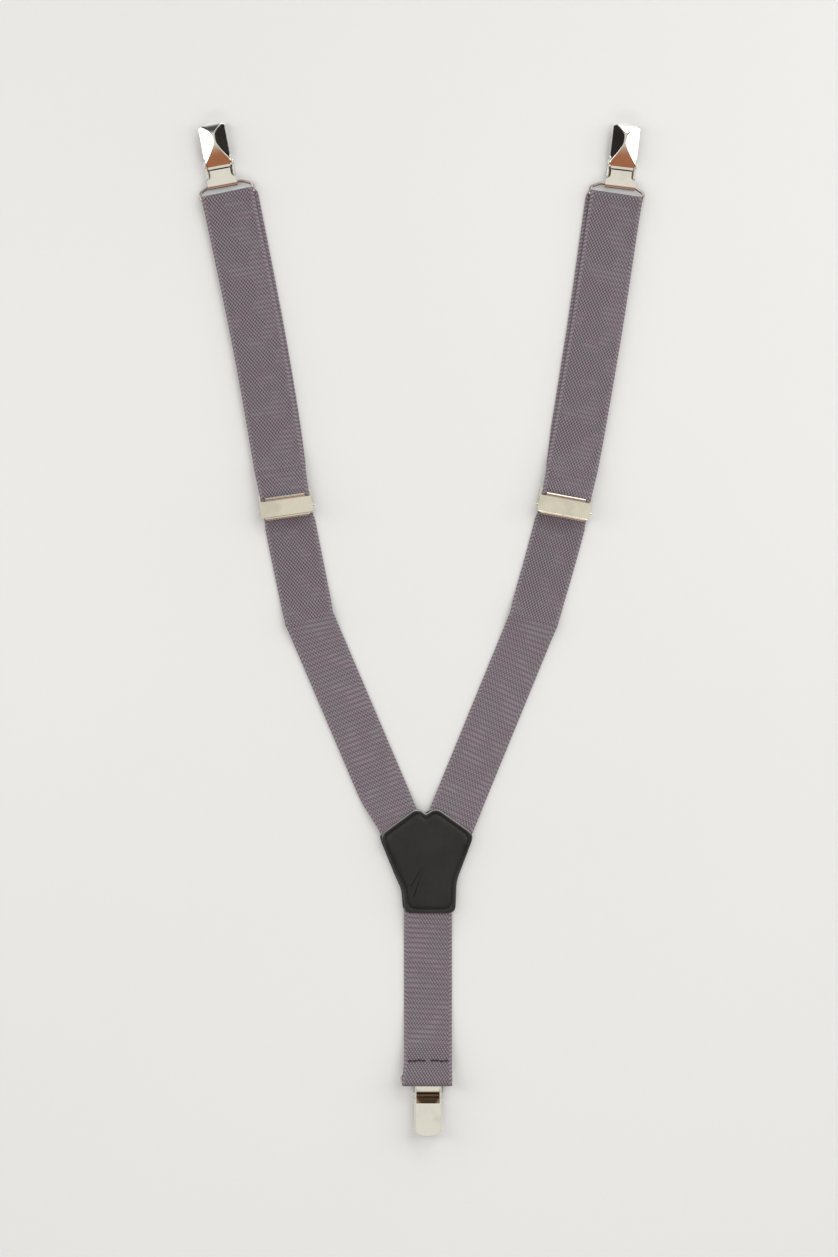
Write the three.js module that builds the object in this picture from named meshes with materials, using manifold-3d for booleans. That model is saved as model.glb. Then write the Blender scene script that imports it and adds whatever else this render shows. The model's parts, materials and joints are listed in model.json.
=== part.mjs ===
// A pair of Y-back clip-on suspenders, laid out flat with the leather yoke's underside on the ground.
// Millimetres, +Z up, +Y from the yoke towards the two front clips. The origin is under the middle of the yoke.
import * as THREE from "three";
import { ConvexGeometry } from "three/addons/geometries/ConvexGeometry.js";
import { mergeVertices } from "three/addons/utils/BufferGeometryUtils.js";
import Module from "manifold-3d";

const wasm = await Module();
wasm.setup();

// ---- Driving dimensions ----
const WEBBING = { width: 25, thick: 1.3 };
const GAP = 0.3; // running gap between neighbouring pieces
const LEATHER = { thick: 1.2, seamInset: 2.2 };
const WIRE = { radius: 0.75, halfWide: 13.9, halfNarrow: 9, depth: 6.5, sideRise: 4, buttGap: 0.4 };
const CLIP = {
  sheet: 0.8, // sheet metal of the clip's back plate
  rollRadius: 1.05, // inside radius of the roll that holds the wire
  plateLength: 31,
  halfPlate: 6.5,
  halfRoll: 7.75,
  flapLength: 7.6,
  pivot: { y: 11.4, z: 1.75 }, // trunnion pin, measured from the wire's axis
  pinRadius: 0.6,
  halfPin: 7.9,
  halfLever: 7.15,
  halfTail: 6.6,
  leverTip: 33.1,
  leverCorner: 31.4,
  leverRoot: 8.9,
  wideFrom: 13.9, // the cover is full width from here to its tip
  apex: { y: 23.4, z: 5.35 },
  rim: { low: 2.05, high: 2.95 },
};
const ADJUSTER = {
  halfRing: 13.05, // inside half width of the ring
  wall: 0.8,
  barLow: 1.6,
  barHigh: 2.4,
  clampBar: [-2.4, 0.6],
  loopBar: [6.4, 8.0],
  pivot: { y: -1.2, z: 4.85 },
  pinRadius: 0.6,
  halfPin: 15,
  halfPlate: 13.5,
  plateLow: 6.0,
  plateHigh: 6.8,
};

const HALF = WEBBING.width / 2;
const MID = WEBBING.thick / 2; // centre height of webbing that lies on the ground
const TURN_RADIUS = WIRE.radius + GAP + MID; // centre line of the webbing round the wire
const TURN_HEIGHT = TURN_RADIUS + MID; // the wire's height where the turn lies on the ground
const YOKE_WEBBING = LEATHER.thick + GAP + MID; // centre height of the webbing inside the yoke
const HINGE_CUT = MID + GAP; // how far the fixed end stops short of a flex line
const LEG = 4; // straight legs of the turn round the wire
const ROLL_HEIGHT = CLIP.rollRadius + CLIP.sheet; // the narrow bar's height over the clip's underside

// Each front strap: where it leaves the yoke, its fold, its adjuster, a point between, and its wire.
const FRONTS = {
  left: {
    flex: [-17.74, 24.18],
    fold: [-61.6, 127.1],
    adjuster: [-73.2, 185],
    between: [-87.5, 266.8],
    wire: [-103.9, 346.7],
    foldTurn: 12, // degrees, direction of the fold line
    adjusterTurn: 8,
    loopTurn: 11,
    clipTurn: 10.5,
    clipShift: -1.5,
    trim: 3.4,
  },
  right: {
    flex: [14.06, 25.83],
    fold: [55.2, 126.3],
    adjuster: [71.1, 185],
    between: [86.2, 266.8],
    wire: [98.2, 345.8],
    foldTurn: -12,
    adjusterTurn: -10.5,
    loopTurn: -8.4,
    clipTurn: -6.8,
    clipShift: 0.9,
    trim: 1.6,
  },
};
const BACK = {
  x: 0.3,
  flexY: -28,
  wireY: -113.6,
  wireZ: 7.05,
  clipTilt: 8.5, // degrees, the face-down clip leans on its cover's peak and its roll
  turnedEnd: 13.1, // the turned-back layer's length from the wire
};
const FOLD_HEIGHT = 2.65; // the fold stands up as a low ridge

const COLOURS = {
  webbing: { color: 0x766c73, roughness: 0.95, metalness: 0 },
  leather: { color: 0x2c2b2a, roughness: 0.55, metalness: 0 },
  thread: { color: 0x1c1a1b, roughness: 0.8, metalness: 0 },
  webbingThread: { color: 0x4a3d46, roughness: 0.9, metalness: 0 },
  chrome: { color: 0xd8d4cc, roughness: 0.12, metalness: 1 },
  nickel: { color: 0xd6d0bd, roughness: 0.3, metalness: 1 },
  wire: { color: 0xb9aa9a, roughness: 0.25, metalness: 1 },
  grip: { color: 0xd9d6cf, roughness: 0.6, metalness: 0 },
};

// ---- Small tools ----
const rad = THREE.MathUtils.degToRad;

function toSolid(geometry) {
  const bare = new THREE.BufferGeometry();
  bare.setAttribute("position", geometry.getAttribute("position"));
  if (geometry.index) bare.setIndex(geometry.index);
  const merged = mergeVertices(bare, 1e-4);
  return new wasm.Manifold(
    new wasm.Mesh({
      numProp: 3,
      vertProperties: new Float32Array(merged.attributes.position.array),
      triVerts: new Uint32Array(merged.index.array),
    }),
  );
}

function toGeometry(solid) {
  const mesh = solid.getMesh();
  const geometry = new THREE.BufferGeometry();
  geometry.setAttribute("position", new THREE.BufferAttribute(mesh.vertProperties, 3));
  geometry.setIndex(new THREE.BufferAttribute(mesh.triVerts, 1));
  geometry.computeVertexNormals();
  return geometry;
}

function join(...geometries) {
  const solids = geometries.map(toSolid);
  return toGeometry(solids.reduce((all, next) => all.add(next)));
}

function cut(body, ...tools) {
  return toGeometry(tools.reduce((left, tool) => left.subtract(toSolid(tool)), toSolid(body)));
}

function block([x0, x1], [y0, y1], [z0, z1]) {
  const geometry = new THREE.BoxGeometry(x1 - x0, y1 - y0, z1 - z0);
  return geometry.translate((x0 + x1) / 2, (y0 + y1) / 2, (z0 + z1) / 2);
}

// A round bar along X through (y, z).
function crossPin(radius, half, y, z, sides = 16) {
  return new THREE.CylinderGeometry(radius, radius, 2 * half, sides).rotateZ(Math.PI / 2).translate(0, y, z);
}

// A flat outline in plan, given thickness.
function slab(shape, low, high, curveSegments = 4) {
  const geometry = new THREE.ExtrudeGeometry(shape, { depth: high - low, bevelEnabled: false, curveSegments });
  return geometry.translate(0, 0, low);
}

// A closed outline whose corners [x, y, radius] are rounded off.
function roundedShape(corners) {
  const shape = new THREE.Shape();
  corners.forEach(([x, y, radius], i) => {
    const here = new THREE.Vector2(x, y);
    const before = new THREE.Vector2(...corners.at(i - 1)).sub(here).setLength(radius).add(here);
    const after = new THREE.Vector2(...corners[(i + 1) % corners.length]).sub(here).setLength(radius).add(here);
    if (i === 0) shape.moveTo(before.x, before.y);
    else shape.lineTo(before.x, before.y);
    shape.quadraticCurveTo(x, y, after.x, after.y);
  });
  shape.closePath();
  return shape;
}

// Points on an arc about (y, z), angles in degrees.
function arc(y, z, radius, from, to, steps = 8) {
  return Array.from({ length: steps + 1 }, (_, i) => {
    const angle = rad(from + ((to - from) * i) / steps);
    return [y + radius * Math.cos(angle), z + radius * Math.sin(angle)];
  });
}

// A strip seen from its edge: a centre line [along, height], given thickness, then drawn out across X.
function strip(line, thick, half, roundStart = false) {
  const points = line.map(([y, z]) => new THREE.Vector2(y, z));
  const sides = [[], []];
  points.forEach((point, i) => {
    const before = points[Math.max(i - 1, 0)];
    const after = points[Math.min(i + 1, points.length - 1)];
    const into = point.clone().sub(before).normalize();
    const out = after.clone().sub(point).normalize();
    const along = into.clone().add(out).normalize();
    const middle = i > 0 && i < points.length - 1;
    const mitre = middle ? 1 / Math.max(0.5, Math.sqrt((1 + into.dot(out)) / 2)) : 1;
    const offset = new THREE.Vector2(-along.y, along.x).multiplyScalar((mitre * thick) / 2);
    sides[0].push(point.clone().add(offset));
    sides[1].push(point.clone().sub(offset));
  });
  const outline = [...sides[1], ...sides[0].reverse()];
  if (roundStart) {
    const first = points[0];
    const heading = points[1].clone().sub(first).angle();
    const steps = 6;
    for (let i = 1; i < steps; i += 1) {
      const angle = heading + Math.PI / 2 + (Math.PI * i) / steps;
      outline.push(first.clone().add(new THREE.Vector2(Math.cos(angle), Math.sin(angle)).multiplyScalar(thick / 2)));
    }
  }
  const geometry = new THREE.ExtrudeGeometry(new THREE.Shape(outline), { depth: 2 * half, bevelEnabled: false });
  geometry.translate(0, 0, -half);
  const across = new THREE.Matrix4().makeBasis(
    new THREE.Vector3(0, 1, 0),
    new THREE.Vector3(0, 0, 1),
    new THREE.Vector3(1, 0, 0),
  );
  return geometry.applyMatrix4(across);
}

// Straight-line values between [place, value] stops.
function between(stops, at) {
  const next = stops.findIndex(([place]) => place >= at);
  if (next === 0) return stops[0][1];
  if (next < 0) return stops.at(-1)[1];
  const [[from, low], [to, high]] = [stops[next - 1], stops[next]];
  return low + ((high - low) * (at - from)) / (to - from);
}

// Lays a strip, made along +Y, on a curve in plan. Its ends can be mitred to a fold line, and it can widen.
function layOn(curve, geometry, mitres = [], widths = [[0, 1]]) {
  const length = curve.getLength();
  const place = geometry.getAttribute("position");
  for (let i = 0; i < place.count; i += 1) {
    const along = place.getY(i);
    const across = place.getX(i) * between(widths, along);
    const share = THREE.MathUtils.clamp(along / length, 0, 1);
    const point = curve.getPointAt(share);
    const tangent = curve.getTangentAt(share);
    let shift = along - share * length;
    for (const { at, slope, reach } of mitres) {
      shift += across * slope * Math.max(0, 1 - Math.abs(along - at) / reach);
    }
    place.setXY(i, point.x + tangent.y * across + tangent.x * shift, point.y - tangent.x * across + tangent.y * shift);
  }
  return geometry;
}

function piece(name, geometry, finish) {
  const mesh = new THREE.Mesh(geometry, new THREE.MeshStandardMaterial(COLOURS[finish]));
  mesh.name = name;
  return mesh;
}

const part = new THREE.Group();

// ---- Yoke: two leather faces sewn over the ends of three straps ----
function yokeOutline(inset) {
  const half = (x) => Math.sign(x) * (Math.abs(x) - inset);
  return roundedShape([
    [-0.8, 25.2 - 1.25 * inset, 0.8],
    [-5.2 + 0.3 * inset, 28.4 - inset, 2],
    [half(-24.9), 14.2 - 0.5 * inset, 3],
    [half(-15.6), -8.6, 4],
    [half(-12.8), -14.5, 3],
    [half(-12.0), -26.3 + inset, 4],
    [half(14.6), -26.3 + inset, 4],
    [half(15.2), -9.6, 4],
    [half(24.4), 14.6 - 0.5 * inset, 3],
    [4.6 - 0.3 * inset, 28.4 - inset, 2],
  ]);
}

function makeYoke() {
  const backLayerShift = [-0.7, 0.2];
  const frontLow = LEATHER.thick + WEBBING.thick + 2 * GAP;
  const frontHigh = frontLow + LEATHER.thick;
  const threadLow = frontHigh + 0.1;
  const threadWidth = 0.5;
  const back = slab(yokeOutline(0), 0, LEATHER.thick).translate(...backLayerShift, 0);
  const front = slab(yokeOutline(0), frontLow, frontHigh);
  const seam = cut(
    slab(yokeOutline(LEATHER.seamInset), threadLow, threadLow + 0.3, 2),
    slab(yokeOutline(LEATHER.seamInset + threadWidth), threadLow - 1, threadLow + 1, 2),
  );
  part.add(piece("yoke_back_leather", back, "leather"));
  part.add(piece("yoke_front_leather", front, "leather"));
  part.add(piece("yoke_seam_thread", seam, "thread"));
}

// The end of a front strap sewn inside the yoke, tapered on its outer side where the yoke narrows.
function strapTail(side, data) {
  const outer = Math.sign(data.flex[0]);
  const inside = 12;
  const mouth = 1.5;
  const narrows = 7.5;
  const heading = new THREE.Vector2(...data.fold).sub(new THREE.Vector2(...data.flex)).angle() - Math.PI / 2;
  const outline = [
    [-outer * HALF, -HINGE_CUT],
    [outer * HALF, -HINGE_CUT],
    [outer * HALF, -mouth],
    [outer * (HALF - data.trim + 1), -narrows],
    [outer * (HALF - data.trim - 0.6), -inside],
    [-outer * HALF, -inside],
  ].map((corner) => new THREE.Vector2(...corner));
  const shape = new THREE.Shape(outline);
  const whole = slab(shape, YOKE_WEBBING - MID, YOKE_WEBBING + MID).rotateZ(heading).translate(...data.flex, 0);
  const pastMiddle = outer > 0 ? [-30, 0.4] : [-0.4, 30];
  return piece(`${side}_strap_tail`, cut(whole, block(pastMiddle, [-10, 60], [0, 6])), "webbing");
}

// ---- Wire loop: a flattened hexagon of wire, its butt joint inside the clip's roll ----
// Local frame: the wide bar lies on the X axis and the narrow bar at y = depth.
function wireLoopGeometry() {
  const { halfWide, halfNarrow, depth, sideRise, buttGap, radius } = WIRE;
  const corners = [
    [halfNarrow, depth, 1.2],
    [halfWide, sideRise, 1.2],
    [halfWide, 0, 1.3],
    [-halfWide, 0, 1.3],
    [-halfWide, sideRise, 1.2],
    [-halfNarrow, depth, 1.2],
  ].map(([x, y, bend]) => ({ at: new THREE.Vector3(x, y, 0), bend }));
  const ends = [buttGap / 2, -buttGap / 2].map((x) => new THREE.Vector3(x, depth, 0));
  const route = new THREE.CurvePath();
  let last = ends[0];
  corners.forEach(({ at, bend }, i) => {
    const next = i + 1 < corners.length ? corners[i + 1].at : ends[1];
    const before = last.clone().sub(at).setLength(bend).add(at);
    const after = next.clone().sub(at).setLength(bend).add(at);
    route.add(new THREE.LineCurve3(last, before));
    route.add(new THREE.QuadraticBezierCurve3(before, at, after));
    last = after;
  });
  route.add(new THREE.LineCurve3(last, ends[1]));
  const section = new THREE.Shape(arc(0, 0, radius, 0, 315, 7).map((point) => new THREE.Vector2(...point)));
  return new THREE.ExtrudeGeometry(section, { steps: 72, extrudePath: route, bevelEnabled: false });
}

// ---- Clip: local frame has the wire's narrow bar on the X axis and the tip along +Y ----
function clipFrameGeometry() {
  const { sheet, rollRadius, plateLength, halfPlate, halfRoll, flapLength, pivot, pinRadius } = CLIP;
  const centre = rollRadius + sheet / 2;
  const outside = rollRadius + sheet;
  const rollEdge = 2.6;
  const ear = { inner: 6.9, outer: 7.6, from: 9.8, to: 12.9, top: 3.2 };
  const folded = strip([[plateLength, -centre], ...arc(0, 0, centre, -90, -270, 10), [flapLength, centre]], sheet, halfPlate);
  const roll = strip([[rollEdge, -centre], ...arc(0, 0, centre, -90, -270, 10), [rollEdge, centre]], sheet, halfRoll);
  const ears = [-1, 1].flatMap((side) => {
    const across = (a, b) => [side * a, side * b].sort((p, q) => p - q);
    return [
      block(across(ear.inner, ear.outer), [ear.from, ear.to], [-outside, ear.top]),
      block(across(halfPlate - 1, ear.outer), [ear.from, ear.to], [-outside, -rollRadius]),
    ];
  });
  const window = block([-5.2, 5.2], [8.2, 15.8], [-3, 0]);
  const tipCorners = [-1, 1].map((side) => {
    const corner = new THREE.Shape([
      new THREE.Vector2(side * (halfPlate + 1), plateLength - 1.8),
      new THREE.Vector2(side * (halfPlate - 2.4), plateLength + 1),
      new THREE.Vector2(side * (halfPlate + 1), plateLength + 1),
    ]);
    return slab(corner, -3, 0);
  });
  const pinHole = crossPin(pinRadius + 0.2, 9, pivot.y, pivot.z);
  return cut(join(folded, roll, ...ears), window, ...tipCorners, pinHole);
}

// The cover is a thin four-sided pyramid, hollow underneath, that is also the clip's lever.
function clipLeverGeometry() {
  const { halfLever, halfTail, leverTip, leverCorner, leverRoot, wideFrom, apex, rim, pivot, pinRadius } = CLIP;
  const sheet = 0.7;
  const outline = (inset, z) =>
    [
      [-halfTail + inset, leverRoot + 2 * inset],
      [halfTail - inset, leverRoot + 2 * inset],
      [halfLever - inset, wideFrom + 2],
      [halfLever - inset, leverCorner - inset],
      [halfLever / 2, (leverCorner + leverTip) / 2 + 0.35 - inset],
      [0, leverTip - inset],
      [-halfLever / 2, (leverCorner + leverTip) / 2 + 0.35 - inset],
      [-halfLever + inset, leverCorner - inset],
      [-halfLever + inset, wideFrom + 2],
    ].map(([x, y]) => new THREE.Vector3(x, y, z));
  const peak = (drop) => new THREE.Vector3(0, apex.y, apex.z - drop);
  const outside = new ConvexGeometry([...outline(0, rim.low), ...outline(0, rim.high), peak(0)]);
  const inside = new ConvexGeometry([...outline(sheet, rim.low - 1), ...outline(sheet, rim.high - sheet), peak(sheet)]);
  const shell = cut(outside, inside);
  const cheeks = [-1, 1].map((side) => {
    const across = [side * (halfTail - 0.8), side * halfTail].sort((p, q) => p - q);
    return block(across, [pivot.y - 1.5, pivot.y + 1.5], [pivot.z - 1.2, rim.low + 0.3]);
  });
  const earRoom = [-1, 1].map((side) => {
    const across = [side * halfTail, side * 9].sort((p, q) => p - q);
    return block(across, [leverRoot - 1, wideFrom], [0, 6]);
  });
  return cut(join(shell, ...cheeks), ...earRoom, crossPin(pinRadius + 0.2, 9, pivot.y, pivot.z));
}

function clipJawGeometry() {
  const sheet = 0.7;
  const half = 5.6;
  return strip([[16.4, -0.4], [20.6, -0.4], [22.4, 1.0], [29.2, 1.0], [30.4, 0.75]], sheet, half, true);
}

function gripPadGeometry() {
  const base = block([-5.6, 5.6], [22.6, 30], [-CLIP.rollRadius + 0.15, -0.1]);
  const ribs = [23.4, 24.9, 26.4, 27.9, 29.2].map((y) => block([-5.6, 5.6], [y - 0.25, y + 0.25], [-0.3, 0.3]));
  return join(base, ...ribs);
}

function addClip(side, group) {
  const { pivot, pinRadius, halfPin } = CLIP;
  group.add(piece(`${side}_clip_frame`, clipFrameGeometry(), "nickel"));
  group.add(piece(`${side}_clip_lever`, clipLeverGeometry(), "chrome"));
  group.add(piece(`${side}_clip_jaw`, clipJawGeometry(), "nickel"));
  group.add(piece(`${side}_clip_grip_pad`, gripPadGeometry(), "grip"));
  group.add(piece(`${side}_clip_pivot_pin`, crossPin(pinRadius, halfPin, pivot.y, pivot.z, 12), "nickel"));
}

// ---- Adjuster: local frame has its centre on the ground under the face plate, +Y towards the clip ----
function adjusterFrameGeometry() {
  const { halfRing, wall, barLow, barHigh, clampBar, loopBar, pivot, pinRadius } = ADJUSTER;
  const outer = halfRing + wall;
  const ring = cut(
    block([-outer, outer], [clampBar[0], loopBar[1]], [barLow, barHigh]),
    block([-halfRing, halfRing], [clampBar[1], loopBar[0]], [0, 4]),
  );
  const ears = [-1, 1].map((side) => {
    const across = [side * halfRing, side * outer].sort((p, q) => p - q);
    return block(across, [pivot.y - 1.8, pivot.y + 1.4], [barLow, pivot.z + 1.6]);
  });
  return cut(join(ring, ...ears), crossPin(pinRadius + 0.2, 16, pivot.y, pivot.z));
}

function adjusterLeverGeometry() {
  const { halfPlate, plateLow, plateHigh, pivot, pinRadius, halfRing } = ADJUSTER;
  const lip = { top: 5.6, bottom: -5.6, plateTop: 3.85, plateBottom: -4.5, rise: 0.3 };
  const face = [
    [-halfPlate, lip.plateBottom],
    [-halfPlate + 1.8, lip.bottom],
    [halfPlate - 1.8, lip.bottom],
    [halfPlate, lip.plateBottom],
    [halfPlate, lip.plateTop],
    [halfPlate - 2.6, lip.plateTop],
    [halfPlate - 3.3, lip.top],
    [-halfPlate + 3.3, lip.top],
    [-halfPlate + 2.6, lip.plateTop],
    [-halfPlate, lip.plateTop],
  ].map((corner) => new THREE.Vector2(...corner));
  const plate = slab(new THREE.Shape(face), plateLow, plateHigh);
  const raised = [
    block([-halfPlate + 3.4, halfPlate - 3.4], [lip.top - 1.1, lip.top], [plateLow, plateHigh + lip.rise]),
    block([-halfPlate + 1.9, halfPlate - 1.9], [lip.bottom, lip.bottom + 1], [plateLow, plateHigh + lip.rise]),
  ];
  const cheeks = [-1, 1].map((side) => {
    const across = [side * (HALF - 0.9), side * (HALF - 0.1)].sort((p, q) => p - q);
    return block(across, [pivot.y - 1.1, pivot.y + 1.1], [pivot.z, plateLow + 0.2]);
  });
  const teeth = block([-11, 11], [0.2, 0.8], [4.3, plateLow + 0.2]);
  const earRoom = [-1, 1].map((side) => {
    const across = [side * (halfRing - GAP), side * 15].sort((p, q) => p - q);
    return block(across, [pivot.y - 2.2, pivot.y + 1.8], [3, 9]);
  });
  return cut(join(plate, ...raised, ...cheeks, teeth), ...earRoom, crossPin(pinRadius + 0.15, 16, pivot.y, pivot.z));
}

// ---- A front strap with its adjuster, wire loop and clip ----
function frontCurve(data) {
  const stops = [data.fold, data.adjuster, data.between, data.wire];
  const curve = new THREE.CatmullRomCurve3(stops.map(([x, y]) => new THREE.Vector3(x, y, 0)));
  curve.arcLengthDivisions = 600;
  return curve;
}

function makeFront(side, data) {
  const lower = new THREE.LineCurve3(new THREE.Vector3(...data.flex, 0), new THREE.Vector3(...data.fold, 0));
  const upper = frontCurve(data);
  const lowerLength = lower.getLength();
  const upperLength = upper.getLength();
  const adjusterAt = upper.getLengths(600)[200];
  const foldReach = 24;
  const mitre = (curve, share) => {
    const tangent = curve.getTangentAt(share);
    const square = Math.atan2(-tangent.x, tangent.y);
    return Math.tan(rad(data.foldTurn) - square);
  };
  const lowerMitre = [{ at: lowerLength, slope: mitre(lower, 1), reach: foldReach }];
  const upperMitre = [{ at: 0, slope: mitre(upper, 0), reach: foldReach }];
  // The relaxed elastic is wider the nearer it is to the clip, and it is gathered at the adjuster and at the wire.
  const lowerWidths = [[0, 1.01], [14, 1.02]];
  const upperWidths = [
    [0, 1.03],
    [12, 1.05],
    [adjusterAt - 8.2, 1.06],
    [adjusterAt - 7.3, 1.02],
    [adjusterAt + 19.6, 1.02],
    [adjusterAt + 25.5, 1.07],
    [upperLength - 13, 1.08],
    [upperLength - LEG, 1.02],
  ];
  const web = (name, curve, line, mitres, roundStart) => {
    const flat = strip(line, WEBBING.thick, HALF, roundStart);
    const widths = curve === lower ? lowerWidths : upperWidths;
    part.add(piece(`${side}_${name}`, layOn(curve, flat, mitres, widths), "webbing"));
  };
  const fromAdjuster = (line) => line.map(([y, z]) => [y + adjusterAt, z]);
  const fromWire = (line) => line.map(([y, z]) => [y + upperLength, z]);
  const stackEnd = 19.3; // the sewn layers beside the adjuster end here
  const layer = WEBBING.thick + GAP;

  part.add(strapTail(side, data));
  web(
    "strap_lower",
    lower,
    [[0, YOKE_WEBBING], [14, MID], [lowerLength - 12, MID], [lowerLength - HINGE_CUT, FOLD_HEIGHT - 0.1]],
    lowerMitre,
    true,
  );
  web("strap_middle", upper, [[0, FOLD_HEIGHT], [12, MID], [adjusterAt - 8.2, MID]], upperMitre, true);
  web(
    "strap_in_adjuster",
    upper,
    fromAdjuster([[-7.3, MID], [-2.9, 3.35], [1, 3.35], [4, 4.95], [8.4, 4.95], [12, 3.9], [stackEnd, 3.9]]),
  );
  web(
    "strap_front",
    upper,
    [
      ...fromAdjuster([[stackEnd + GAP, 3.9], [25.5, MID + layer]]),
      ...fromWire([[-13, MID + layer], [-LEG - GAP, 3.25]]),
    ],
  );
  web("strap_return", upper, [...fromAdjuster([[stackEnd + GAP, MID]]), ...fromWire([[-LEG - GAP, MID]])]);
  web(
    "strap_turn",
    upper,
    fromWire([[-LEG, MID], ...arc(0, TURN_HEIGHT, TURN_RADIUS, -90, 90, 10), [-LEG, 3.25]]),
  );
  web(
    "strap_end_loop",
    upper,
    fromAdjuster([
      [stackEnd, MID],
      ...arc(6, 2, 1.35, 270, 90, 8),
      [8.4, 3.35],
      [11.5, MID + layer],
      [stackEnd, MID + layer],
    ]),
  );
  const seam = block([-10, 10], [stackEnd - 2.2, stackEnd - 1.7], [2.95, 3.15]).translate(0, adjusterAt, 0);
  part.add(piece(`${side}_end_seam_thread`, layOn(upper, seam), "webbingThread"));

  const adjuster = new THREE.Group();
  adjuster.position.set(...data.adjuster, 0);
  adjuster.rotation.z = rad(data.adjusterTurn);
  adjuster.add(piece(`${side}_adjuster_frame`, adjusterFrameGeometry(), "nickel"));
  adjuster.add(piece(`${side}_adjuster_lever`, adjusterLeverGeometry(), "nickel"));
  const adjusterPin = crossPin(ADJUSTER.pinRadius, ADJUSTER.halfPin, ADJUSTER.pivot.y, ADJUSTER.pivot.z, 12);
  adjuster.add(piece(`${side}_adjuster_pin`, adjusterPin, "nickel"));
  part.add(adjuster);

  // The loop leans down from the wide bar to the lower narrow bar.
  const hanger = new THREE.Group();
  hanger.position.set(...data.wire, TURN_HEIGHT);
  hanger.rotation.z = rad(data.loopTurn);
  const lean = Math.asin((TURN_HEIGHT - ROLL_HEIGHT) / WIRE.depth);
  hanger.add(piece(`${side}_wire_loop`, wireLoopGeometry().rotateX(-lean), "wire"));
  const clip = new THREE.Group();
  clip.position.set(data.clipShift, WIRE.depth * Math.cos(lean), ROLL_HEIGHT - TURN_HEIGHT);
  clip.rotation.z = rad(data.clipTurn - data.loopTurn);
  addClip(side, clip);
  hanger.add(clip);
  part.add(hanger);
}

// ---- Back strap: its end is turned round the wire, and the clip lies face down under it ----
function makeBack() {
  const length = BACK.flexY - BACK.wireY;
  const tail = slab(
    new THREE.Shape([
      new THREE.Vector2(-HALF, BACK.flexY + HINGE_CUT),
      new THREE.Vector2(HALF, BACK.flexY + HINGE_CUT),
      new THREE.Vector2(HALF, 6),
      new THREE.Vector2(-HALF, 6),
    ]),
    YOKE_WEBBING - MID,
    YOKE_WEBBING + MID,
  );
  part.add(piece("back_strap_tail", tail.translate(BACK.x, 0, 0), "webbing"));

  const turnedFrom = length - BACK.turnedEnd;
  const sewn = { y: length - 10.7, top: 4.45, step: WEBBING.thick + GAP };
  const line = [
    [0, YOKE_WEBBING],
    [14, MID],
    [46, MID],
    [turnedFrom - 8, 2.1],
    [sewn.y, sewn.top],
    ...arc(length, BACK.wireZ, TURN_RADIUS, 98, -98, 12),
    [sewn.y, sewn.top - sewn.step],
    [turnedFrom, sewn.top - sewn.step - 0.6],
  ];
  const strap = new THREE.Group();
  strap.position.set(BACK.x, BACK.flexY, 0);
  strap.rotation.z = Math.PI;
  strap.add(piece("back_strap", strip(line, WEBBING.thick, HALF, true), "webbing"));
  const lean = Math.atan2(BACK.wireZ - sewn.top, length - sewn.y);
  const seam = block([-10, 10], [-0.25, 0.25], [0, 0.25]);
  seam.rotateX(lean).translate(0, sewn.y + 2, sewn.top + 2 * Math.tan(lean) + MID + 0.45);
  strap.add(piece("back_end_seam_thread", seam, "webbingThread"));
  part.add(strap);

  // The loop is folded back under the strap's end, so the clip starts beneath it.
  const drop = Math.asin((BACK.wireZ - ROLL_HEIGHT) / WIRE.depth);
  const hanger = new THREE.Group();
  hanger.position.set(BACK.x, BACK.wireY, BACK.wireZ);
  hanger.add(piece("back_wire_loop", wireLoopGeometry().rotateX(-drop), "wire"));
  const clip = new THREE.Group();
  clip.position.set(0, WIRE.depth * Math.cos(drop), ROLL_HEIGHT - BACK.wireZ);
  clip.rotation.x = Math.PI - rad(BACK.clipTilt);
  addClip("back", clip);
  hanger.add(clip);
  part.add(hanger);
}

makeYoke();
for (const [side, data] of Object.entries(FRONTS)) makeFront(side, data);
makeBack();

export default part;
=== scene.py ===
"""Y-back clip-on suspenders, laid out flat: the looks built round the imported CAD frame.

Everything is in the CAD's own frame. Shapes are worked out in millimetres, and scaled to
metres when their mesh is made.
"""

import json
import math

import bpy
import numpy as np
from mathutils import Matrix, Vector


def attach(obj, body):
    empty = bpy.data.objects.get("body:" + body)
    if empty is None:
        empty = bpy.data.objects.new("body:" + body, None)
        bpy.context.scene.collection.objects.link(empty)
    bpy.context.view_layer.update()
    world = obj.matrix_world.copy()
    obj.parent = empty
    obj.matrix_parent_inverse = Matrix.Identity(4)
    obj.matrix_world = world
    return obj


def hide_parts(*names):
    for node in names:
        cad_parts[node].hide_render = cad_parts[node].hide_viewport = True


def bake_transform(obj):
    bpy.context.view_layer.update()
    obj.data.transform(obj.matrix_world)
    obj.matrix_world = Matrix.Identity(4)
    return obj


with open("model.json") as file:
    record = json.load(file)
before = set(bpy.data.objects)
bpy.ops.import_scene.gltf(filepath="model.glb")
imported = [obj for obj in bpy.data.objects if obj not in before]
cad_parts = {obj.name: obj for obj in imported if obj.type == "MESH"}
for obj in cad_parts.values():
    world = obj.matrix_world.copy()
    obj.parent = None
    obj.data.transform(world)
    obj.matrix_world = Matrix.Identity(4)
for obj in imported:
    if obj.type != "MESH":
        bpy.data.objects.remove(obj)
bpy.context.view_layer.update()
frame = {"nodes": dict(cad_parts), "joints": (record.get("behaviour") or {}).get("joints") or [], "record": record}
JOINTS = {joint["name"]: joint for joint in frame["joints"]}

MM = 0.001
SIDES = ("left", "right")

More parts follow.
